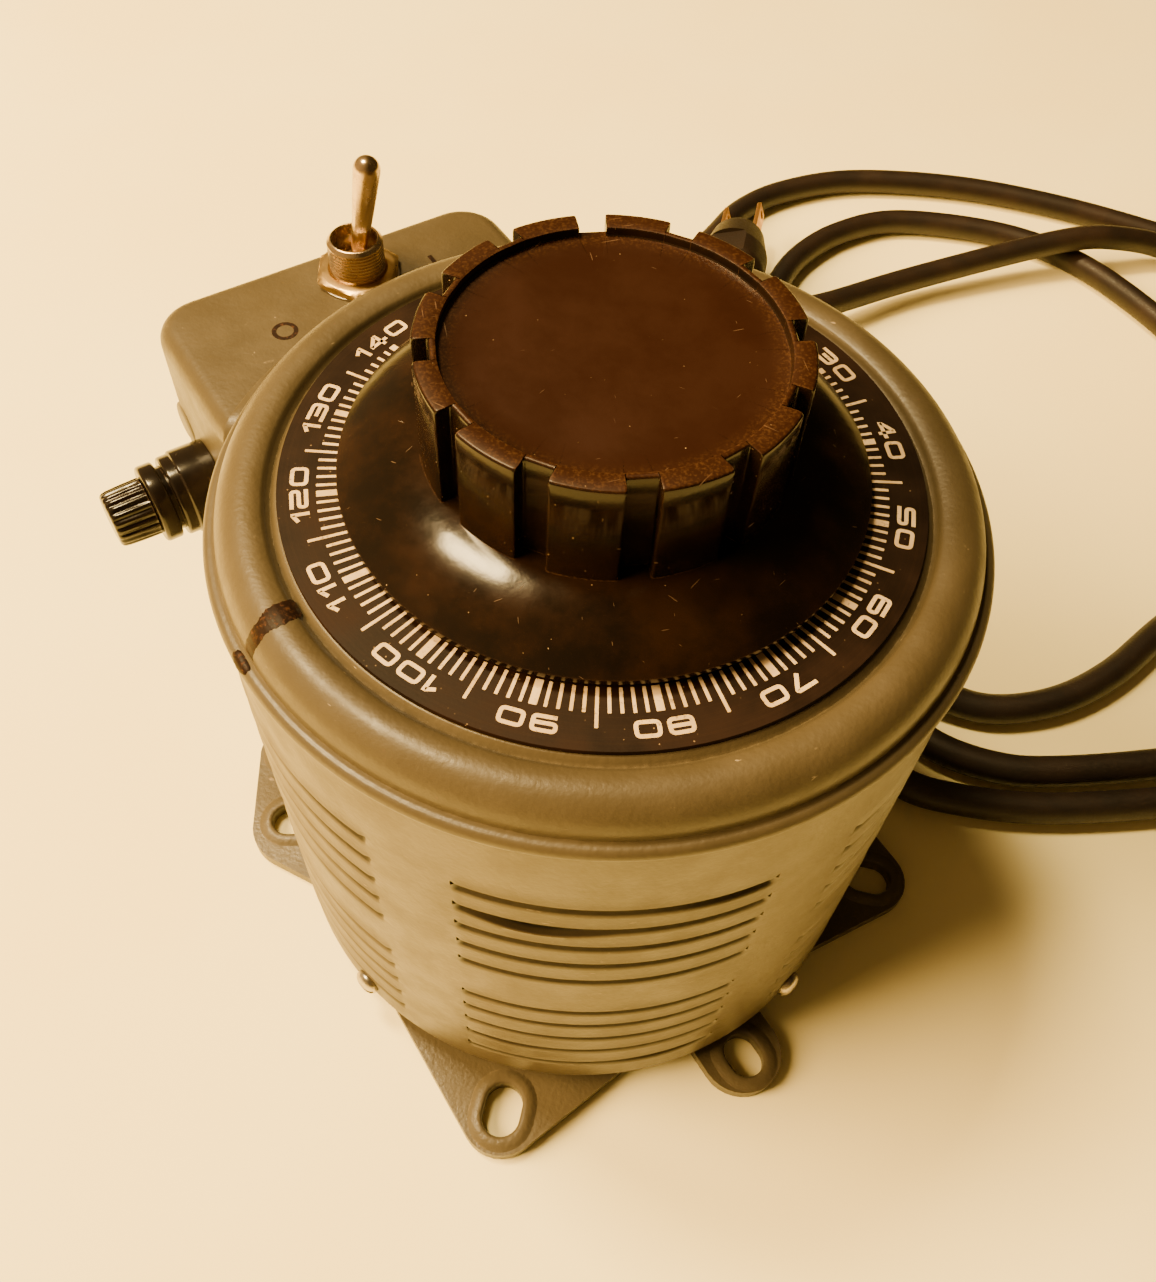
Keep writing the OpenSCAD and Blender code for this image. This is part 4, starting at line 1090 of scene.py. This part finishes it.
def box_line(d, z):
    """Right wall, back and left wall of the box, drawn in by d."""
    x0, x1 = BOX_LOW[0] + d, BOX_HIGH[0] - d
    back = BOX_HIGH[1] - d
    r = BOX_CORNER - d
    y_right = math.sqrt(BOX_FRONT_R ** 2 - x1 ** 2)
    y_left = math.sqrt(BOX_FRONT_R ** 2 - x0 ** 2)
    points = [(x1, y_right + (back - r - y_right) * k / 4) for k in range(4)]
    points += arc((x1 - r, back - r), r, 0, 90, 12)
    points += [(x1 - r + (x0 - x1 + 2 * r) * k / 8, back) for k in range(1, 8)]
    points += arc((x0 + r, back - r), r, 90, 180, 12)
    points += [(x0, back - r + (y_left - back + r) * k / 4) for k in range(1, 5)]
    return [p + (z,) for p in points]


def build_box():
    """Pressed box with a soft rim, open at the bottom and towards the case."""
    top = BOX_HIGH[2]
    low = BOX_LOW[2]
    rings = [box_line(0, z) for z in (low, low + 20, low + 40, top - BOX_EDGE - 2)]
    for k in range(9):
        a = math.radians(90 * k / 8)
        rings.append(box_line(BOX_EDGE * (1 - math.cos(a)), top - BOX_EDGE * (1 - math.sin(a))))
    bm = bmesh.new()
    made = loft(bm, rings, around=False)
    last = rings[-1]
    front = arc((0, 0), BOX_FRONT_R, azimuth(last[-1]), azimuth(last[0]), 40)
    edge = [p + (top,) for p in front[1:-1]]
    bm.faces.new(made[-1] + add_ring(bm, edge))
    obj = new_object("box_shell", bm, BOX_AXES)
    cap = max(obj.data.polygons, key=lambda p: p.area)
    if cap.normal.z < 0:
        obj.data.flip_normals()
    thicken(obj, BOX_T, True)
    x, z = OUTLET_X, OUTLET_Z
    cutters = [rod_cutter(SWITCH_AXES, 6.05, 110, 130),
               rod_cutter(FUSE_AXES, 6.45, 45, 55),
               rod_cutter(RELIEF_AXES, 6.0, 25, 35),
               block_cutter(BOX_AXES, (x - 13, 95, z - 13), (x + 13, 103, z + 13))]
    carve(obj, cutters)
    return piece(obj, "case", PAINT, ["terminal_box"], 40.0)


def curved_plate(name, r0, r1, z0, z1, a0, a1, corner):
    """Plate bent round the shaft, with round corners and soft edges."""
    span = math.radians(a1 - a0) * r1
    dense = divided(fillet([(0, z0), (span, z0), (span, z1), (0, z1)], corner, 10), 2.0)

    def ring(r, inset):
        points = []
        for x, z in dense:
            x = min(max(x, inset), span - inset)
            z = min(max(z, z0 + inset), z1 - inset)
            points.append(polar(r, a0 + math.degrees(x / r1)) + (z,))
        return points

    bm = bmesh.new()
    rings = [ring(r0, 0.3), ring(r0 + 0.3, 0.0), ring(r1 - 0.5, 0.0), ring(r1 - 0.15, 0.15),
             ring(r1, 0.5)]
    made = loft(bm, rings)
    fill_strip(bm, made[0], a0, r1)
    fill_strip(bm, made[-1], a0, r1)
    return new_object(name, bm, BOX_AXES)


def fill_strip(bm, verts, a0, r1):
    """Closes the curved face of a bent plate with upright strips."""
    flat = []
    for v in verts:
        flat.append((math.radians(azimuth(v.co) - a0) * r1, v.co.z / MM, v))
    heights = [f[1] for f in flat]
    middle = (min(heights) + max(heights)) / 2
    lows = sorted([f for f in flat if f[1] < middle], key=lambda f: (f[0], f[1]))
    highs = sorted([f for f in flat if f not in lows], key=lambda f: (f[0], -f[1]))
    i = j = 0
    while i < len(lows) - 1 or j < len(highs) - 1:
        step_low = j >= len(highs) - 1 or (i < len(lows) - 1 and
                                           lows[i + 1][0] <= highs[j + 1][0])
        if step_low:
            bm.faces.new([lows[i][2], lows[i + 1][2], highs[j][2]])
            i += 1
        else:
            bm.faces.new([lows[i][2], highs[j + 1][2], highs[j][2]])
            j += 1


def build_saddle():
    """Curved flange between the box and the case."""
    obj = curved_plate("box_flange", SADDLE_R - SADDLE_T, SADDLE_R, SADDLE_LOW[2],
                       SADDLE_HIGH[2], *SADDLE_AZ, 7.0)
    window = block_cutter(BOX_AXES, (-36, 60, 72), (15, 80, 108))
    carve(obj, [window])
    return piece(obj, "case", PAINT, ["box_saddle"], 34.0)


def build_switch_marks():
    """A ring and a bar drawn beside the switch."""
    bm = bmesh.new()
    top = BOX_HIGH[2]
    upright = Matrix.Identity(4)
    ring = arc((SWITCH_X - 21.5, SWITCH_Y - 8.5), 2.3, 0, 345, 23)
    ribbon(bm, ring, True, 0.95, upright, top - 0.02, top + 0.03)
    bar = [(SWITCH_X + 16.5, SWITCH_Y - 6.4), (SWITCH_X + 16.5, SWITCH_Y - 1.6)]
    ribbon(bm, bar, False, 1.0, upright, top - 0.02, top + 0.03)
    obj = new_object("switch_signs", bm, BOX_AXES)
    return piece(obj, "case", INK)


def build_hole_plug():
    """Domed plug pressed in the box's end wall."""
    profile = [(0, 0.55), (3.4, 0.5), (4.3, 0.3), (4.75, -0.05), (4.85, -0.3), (0, -0.3)]
    profile = fillet(profile, [0, 0.8, 0.5, 0.2, 0, 0], 3, False)
    place = axes((0, -1, 0), (0, 0, 1), (-1, 0, 0), (BOX_LOW[0], 89.8, 97.1))
    obj = turned_object("hole_plug", profile, 48, False, place)
    return piece(obj, "case", PAINT)


# ---- switch ----

BORE_R = 4.75
BODY_TOP = 118.4
THREADS = 8
THREAD_STEP = 0.78
LEVER_BALL_R = 3.6
LEVER_TIP_R = 2.85
LEVER_LENGTH = 22.5


def build_bushing():
    """Threaded bushing, and the switch's top plate under it."""
    low, high = node_box("switch_bushing", BOX_TURN)
    top = high[2]
    profile = [(BORE_R, BODY_TOP), (6.0, BODY_TOP + 0.6), (6.0, 124.1)]
    for k in range(THREADS):
        z = 124.2 + THREAD_STEP * k
        profile += [(5.98, z), (5.98, z + 0.14), (5.55, z + 0.39), (5.98, z + 0.64)]
    profile += [(5.95, top - 0.75), (5.3, top - 0.08), (5.05, top), (4.9, top - 0.1),
                (BORE_R, top - 0.6)]
    obj = turned_object("switch_collar", profile, 96, True, SWITCH_AXES)
    plate_bm = bmesh.new()
    x0, x1 = low[0] - SWITCH_X, high[0] - SWITCH_X
    outline = fillet([(x0, -8), (x1, -8), (x1, 8), (x0, 8)], 1.2, 4)
    prism(plate_bm, outline, BODY_TOP + 0.02, BOX_HIGH[2] - BOX_T - 0.03)
    plate = new_object("switch_plate", plate_bm, SWITCH_AXES)
    carve(plate, [rod_cutter(SWITCH_AXES, BORE_R, 110, 130)])
    piece(plate, "case", ZINC)
    return piece(obj, "case", NICKEL, ["switch_bushing"], 25.0)


def build_nut():
    """Chamfered hexagon nut."""
    z0, z1 = NUT_LOW[2], NUT_HIGH[2]
    side = 17 / math.sqrt(3)
    dense = divided([polar(side, 60 * k) for k in range(6)], side / 12.5)

    def ring(z, limit):
        points = []
        for x, y in dense:
            r = math.hypot(x, y)
            s = min(1.0, limit / r)
            points.append((x * s, y * s, z))
        return points

    def circle(r, z):
        return [polar(r, azimuth(p)) + (z,) for p in dense]

    bm = bmesh.new()
    rings = [circle(6.03, z0 + 0.2), circle(6.2, z0), ring(z0, 8.7), ring(z0 + 0.3, 9.3),
             ring(z1 - 0.75, 9.7), ring(z1 - 0.4, 9.05), ring(z1 - 0.12, 8.3),
             ring(z1, 7.9), circle(6.5, z1), circle(6.05, z1 - 0.35)]
    loft(bm, rings, closed=True)
    obj = new_object("hex_nut", bm, SWITCH_AXES)
    return piece(obj, "case", BRASS, ["switch_nut"], 28.0)


def build_washer():
    """Flat washer under the nut, with soft edges."""
    z0 = BOX_HIGH[2]
    profile = fillet([(6.1, z0 + 0.01), (8.9, z0 + 0.01), (8.9, z0 + 0.5), (6.1, z0 + 0.5)],
                     0.12, 2)
    obj = turned_object("flat_washer", profile, 72, True, SWITCH_AXES)
    return piece(obj, "case", ZINC, ["switch_washer"])


def build_lever():
    """Bat lever with its ball, pivot pin and lower arm."""
    x, y, z = joint_place("switch_throw")
    place = Matrix.Translation(Vector((x, y, z)) * MM) @ BOX_AXES @ spin(LEVER_LEAN, "Y")
    profile = [(0, -10), (1.1, -10), (1.3, -9.8), (1.3, -3.6)]
    profile += arc((0, 0), LEVER_BALL_R, -66, 62, 12)
    profile += [(1.72, 3.6), (1.84, 6.5), (2.08, 10), (2.36, 14), (2.62, 18), (2.78, 21.0)]
    profile += arc((0, LEVER_LENGTH), LEVER_TIP_R, 0, 90, 9)[:-1]
    profile.append((0, LEVER_LENGTH + LEVER_TIP_R))
    bm = bmesh.new()
    turned(bm, profile, 64, False)
    pin = bmesh.new()
    turned(pin, [(0, -4.6), (0.8, -4.6), (0.9, -4.5), (0.9, 4.5), (0.8, 4.6), (0, 4.6)], 24,
           False)
    bmesh.ops.transform(pin, matrix=spin(90, "X"), verts=pin.verts)
    extra = bpy.data.meshes.new("pin")
    pin.to_mesh(extra)
    pin.free()
    bm.from_mesh(extra)
    obj = new_object("bat_lever", bm, place)
    return piece(obj, "switch_lever", NICKEL, ["toggle_lever"], 40.0)


# ---- fuse holder ----

COLLAR_LENGTH = 10.4
HOLDER_LENGTH = 15.3
FLUTES = 22
FLUTE_DEPTH = 0.42


def build_fuse_holder():
    """Collar and flanged body of the fuse holder, and then its cap."""
    wall = -BOX_LOW[0]
    collar_end = wall + COLLAR_LENGTH
    collar = fillet([(6.45, wall + 0.01), (9.4, wall + 0.01), (9.4, wall + 7.6),
                     (8.95, wall + 7.95), (8.95, collar_end), (6.45, collar_end)],
                    [0, 0.3, 0.35, 0.2, 0.7, 0.2], 4)
    obj = turned_object("fuse_collar", collar, 120, True, FUSE_AXES)
    piece(obj, "case", MOULDING, ["fuse_holder_nut"], 35.0)
    front = wall + HOLDER_LENGTH
    body = fillet([(5.0, 24.2), (5.0, front), (8.65, front), (8.65, front - 3.7),
                   (7.2, front - 3.7), (7.2, collar_end + 0.05), (6.4, collar_end + 0.05),
                   (6.4, 20.0), (0, 20.0), (0, 24.2)],
                  [0, 0.5, 0.9, 0.6, 0.2, 0, 0, 0.4, 0, 0], 4)
    obj = turned_object("fuse_body", body[-1:] + body[:-1], 120, False, FUSE_AXES)
    piece(obj, "case", MOULDING, ["fuse_holder_body"], 35.0)
    build_fuse_cap(front)


def build_fuse_cap(front):
    """Fluted cap with its spigot."""
    start = front + 0.06
    per = 8
    n = FLUTES * per
    rows = [(4.95, start - 6.2, 0), (4.95, start, 0), (6.2, start, 0.0), (6.5, start + 0.25, 0.3),
            (6.5, start + 0.9, 1.0), (6.42, start + 4.0, 1.0), (6.25, start + 7.2, 1.0),
            (6.10, start + 8.1, 0.8), (5.85, start + 8.6, 0.35), (5.4, start + 8.92, 0.0),
            (4.6, start + 9.0, 0.0), (3.4, start + 8.9, 0.0), (1.6, start + 8.85, 0.0)]
    rings = [[(0, 0, start - 6.2)]]
    for r, w, depth in rows:
        ring = []
        for k in range(n):
            cut = FLUTE_DEPTH * depth * (0.5 - 0.5 * math.cos(TURN * k / per)) ** 1.6
            ring.append(polar(r - cut, 360 * k / n) + (w,))
        rings.append(ring)
    rings.append([(0, 0, start + 8.85)])
    bm = bmesh.new()
    loft(bm, rings)
    obj = new_object("fuse_turn_cap", bm, FUSE_AXES)
    return piece(obj, "fuse_knob", MOULDING, ["fuse_cap"], 50.0)


# ---- cord, sleeve and plug ----

def tube_path(node, start):
    """Middle line of a swept CAD tube, ring by ring from the end nearest start."""
    mesh = frame["nodes"][node].data
    ids = {}
    same = []
    for v in mesh.vertices:
        key = tuple(v.co)
        same.append(ids.setdefault(key, len(ids)))
    places = [Vector(key) for key in ids]
    near = [set() for _ in places]
    for e in mesh.edges:
        a, b = same[e.vertices[0]], same[e.vertices[1]]
        near[a].add(b)
        near[b].add(a)
    ring = sorted(range(len(places)), key=lambda i: (places[i] - start).length)[:CORD_SIDES]
    seen = set(ring)
    path = []
    while ring:
        path.append(sum((places[i] for i in ring), Vector()) / len(ring))
        ring = sorted({j for i in ring for j in near[i]} - seen)
        seen.update(ring)
    return path


def build_cord():
    """Round rubber cord along the middle line of the CAD cord."""
    start = BOX_AXES @ (Vector((RELIEF_LOW[0], RELIEF_Y, RELIEF_Z)) * MM)
    path = tube_path("power_cord", start)
    line = []
    n = len(path)
    for i in range(n - 1):
        a, b = path[max(i - 1, 0)], path[i]
        c, d = path[i + 1], path[min(i + 2, n - 1)]
        for k in range(2):
            t = k / 2
            p = 2 * b + (c - a) * t + (2 * a - 5 * b + 4 * c - d) * t * t
            p += (3 * b - a - 3 * c + d) * t ** 3
            line.append(p * 0.5)
    line.append(path[-1])
    low_z = node_box("power_cord")[0][2]
    rings = []
    count = len(line)
    for i, p in enumerate(line):
        along = (line[min(i + 1, count - 1)] - line[max(i - 1, 0)]).normalized()
        side = along.cross(Vector((0, 0, 1))).normalized()
        up = side.cross(along)
        ring = []
        for k in range(20):
            a = TURN * k / 20
            v = p / MM + (side * math.cos(a) + up * math.sin(a)) * CORD_R
            ring.append((v.x, v.y, max(v.z, low_z)))
        rings.append(ring)
    bm = bmesh.new()
    loft(bm, rings, caps=True)
    obj = new_object("mains_cord", bm)
    return piece(obj, "case", RUBBER, ["power_cord"], 60.0)


def build_sleeve():
    """Ribbed rubber sleeve where the cord leaves the box."""
    wall = BOX_HIGH[0]
    outer = [(5.9, wall - 7), (5.9, wall + 0.02), (7.9, wall + 0.02), (7.9, wall + 2.7)]
    for k in range(4):
        w = wall + 3.2 + 2.7 * k
        r = 6.9 - 0.38 * k
        outer += [(r, w), (r, w + 1.5), (r - 0.75, w + 1.7), (r - 0.75, w + 2.5)]
    outer += [(5.5, wall + 14.2), (5.3, wall + 14.5)]
    inner = [(4.46, wall + 14.5), (4.46, wall - 7)]
    profile = fillet(outer, 0.25, 2, False) + inner
    obj = turned_object("cord_sleeve", profile, 80, True, RELIEF_AXES)
    return piece(obj, "case", RUBBER, ["cord_strain_relief"], 35.0)


PLUG_ROLL = 20.0
PLUG_R = 12.3


def build_plug():
    """Round moulded plug with a finger grip; the CAD's blades get soft edges."""
    x, _, z = middle_of(PLUG_LOW, PLUG_HIGH)
    y0, y1 = PLUG_LOW[1], PLUG_HIGH[1]
    place = Matrix.Translation(Vector((x, 0, z)) * MM) @ spin(-PLUG_ROLL, "Y") @ spin(-90, "X")
    profile = fillet([(4.6, y0 + 9), (4.6, y0), (6.4, y0), (7.0, y0 + 10), (PLUG_R, y0 + 16),
                      (PLUG_R, y0 + 25), (9.8, y1 - 1), (9.2, y1), (0, y1)],
                     [0, 0.2, 0.8, 3.0, 2.5, 1.2, 0.6, 0.3, 0], 5, False)
    obj = turned_object("plug_moulding", [(0, y0 + 9)] + profile, 96, False, place)
    cutters = []
    for side in (-1, 1):
        x = side * BLADE_GAP / 2
        cutters.append(block_cutter(place, (x - 0.8, -3.2, y1 - 10), (x + 0.8, 3.2, y1 + 1)))
    for low, high in ((10.2, 13.5), (-13.5, -10.2)):
        cutters.append(block_cutter(place, (-14, low, y0 + 14), (14, high, y0 + 27)))
    carve(obj, cutters)
    piece(obj, "case", RUBBER, ["plug_body"], 34.0)
    soften("plug_blades", 0.25, 2)
    frame["nodes"]["plug_blades"].data.materials[0] = BLADE_BRASS


# ---- base ----

PLATE_T = 3.5
# slots: azimuths, distance from the shaft, width and length
SLOTS = (((0, 90, 180, 270), 78.0, 8.7, 12.0), ((-45, 75, 195), 74.8, 8.3, 10.5))
# section of a rim: growth of the slot's outline, and height above the plate
RIM = ((-0.02, -1.0), (-0.02, 0.15), (0.2, 0.5), (0.6, 0.68), (1.1, 0.7), (1.9, 0.62),
       (2.6, 0.34), (3.1, 0.1), (3.5, -0.05), (2.0, -0.6))
SHELL_SCREW_AZ = (-32, 58, 148, 238)
SHELL_SCREW_Z = 14.5


def stadium(w, l, grow):
    """Outline of a slot, lying along X, made larger by grow."""
    r = w / 2 + grow
    c = (l - w) / 2
    return arc((c, 0), r, -90, 90, 14) + arc((-c, 0), r, 90, 270, 14)


def build_slot_rims():
    """Raised rims round the base's seven slots."""
    bm = bmesh.new()
    for az, r, w, l in [(az,) + group[1:] for group in SLOTS for az in group[0]]:
        turn = spin(az, size=3)
        rings = [[turn @ Vector((r + x, y, PLATE_T + z)) for x, y in stadium(w, l, grow)]
                 for grow, z in RIM]
        loft(bm, rings, closed=True)
    obj = new_object("slot_rims", bm)
    return piece(obj, "case", BASE_PAINT, (), 50.0)


def build_shell_screws():
    """Slotted pan-head screws low on the shell."""
    for k, az in enumerate(SHELL_SCREW_AZ):
        out = Vector(polar(1, az) + (0,))
        side = Vector((-out.y, out.x, 0))
        place = Matrix((side, Vector((0, 0, 1)), out)).transposed().to_4x4()
        place.translation = Vector((0, 0, SHELL_SCREW_Z * MM))
        profile = [(0, 62), (1.7, 62), (1.9, 62.4), (1.9, SHELL_R - 0.2),
                   (3.1, SHELL_R - 0.1), (3.25, SHELL_R + 0.35), (3.1, SHELL_R + 1.0),
                   (2.5, SHELL_R + 1.65), (1.5, SHELL_R + 2.05), (0, SHELL_R + 2.2)]
        obj = turned_object("shell_screw_%d" % (k + 1), profile, 48, False, place)
        carve(obj, [block_cutter(place @ spin(20 + 55 * k), (-4, -0.45, SHELL_R + 1.1),
                                 (4, 0.45, SHELL_R + 3))])
        replaced = ["shell_screws"] if k == 0 else []
        piece(obj, "case", ZINC, replaced, 35.0)


# ---- stage ----

CAMERA_AT = (21.1, -145.2, 294.95)
CAMERA_TURN = (34.786, -2.247, 12.507)
CAMERA_LENS = 33.905


def build_floor():
    """Wide floor just below the object."""
    bm = bmesh.new()
    bmesh.ops.create_grid(bm, x_segments=8, y_segments=8, size=3.0)
    mesh = bpy.data.meshes.new("floor")
    bm.to_mesh(mesh)
    bm.free()
    floor = placed("floor", mesh)
    floor.location = (0, 0, -0.4 * MM)
    mesh.materials.append(floor_material())


def add_light(name, direction, distance, size, energy, colour, target=(0, 0, 0.08)):
    """Soft rectangular light aimed at the object."""
    data = bpy.data.lights.new(name, "AREA")
    data.shape = "RECTANGLE"
    data.size, data.size_y = size
    data.energy = energy
    data.color = colour
    obj = placed(name, data)
    out = Vector(direction).normalized()
    obj.location = Vector(target) + out * distance
    obj.rotation_euler = (-out).to_track_quat("-Z", "Y").to_euler()
    return obj


def build_lights():
    """Warm world, brighter towards -X, a narrow key light and a wide side light."""
    world = bpy.data.worlds.new("studio")
    world.use_nodes = True
    tree = world.node_tree
    where = tree.nodes.new("ShaderNodeTexCoord")
    lean = tree.nodes.new("ShaderNodeVectorMath")
    lean.operation = "DOT_PRODUCT"
    lean.inputs[1].default_value = (-0.93, -0.25, -0.05)
    ramp = tree.nodes.new("ShaderNodeMapRange")
    for key, value in (("From Min", -0.3), ("From Max", 0.95), ("To Min", 0.05), ("To Max", 0.7)):
        ramp.inputs[key].default_value = value
    back = tree.nodes["Background"]
    back.inputs["Color"].default_value = (1.0, 0.58, 0.21, 1.0)
    tree.links.new(where.outputs["Generated"], lean.inputs[0])
    tree.links.new(lean.outputs["Value"], ramp.inputs["Value"])
    tree.links.new(ramp.outputs["Result"], back.inputs["Strength"])
    bpy.context.scene.world = world
    add_light("key", (-0.38, 0.14, 0.91), 1.3, (0.20, 0.30), 30.0, (1.0, 0.70, 0.30))
    side = add_light("side", (-0.9, -0.30, 0.62), 1.7, (1.1, 1.1), 175.0, (1.0, 0.64, 0.25))
    side.visible_glossy = False


def build_camera():
    """Camera looking down at the front."""
    data = bpy.data.cameras.new("camera")
    data.lens = CAMERA_LENS
    data.sensor_width = 36.0
    data.clip_start = 0.01
    cam = placed("camera", data)
    cam.location = Vector(CAMERA_AT) * MM
    cam.rotation_euler = [math.radians(a) for a in CAMERA_TURN]
    bpy.context.scene.camera = cam


paint_cad_nodes()
build_shell()
build_cover()
build_ink_mark()
build_ticks()
build_numbers()
build_knob()
build_box()
build_saddle()
build_switch_marks()
build_hole_plug()
build_bushing()
build_nut()
build_washer()
build_lever()
build_fuse_holder()
build_cord()
build_sleeve()
build_plug()
build_slot_rims()
build_shell_screws()
soften("base_casting", 0.6)
soften("box_floor", 0.3)
soften("outlet_receptacle", 0.6)
soften("dial_plate", 0.05, 1)
build_floor()
build_lights()
build_camera()
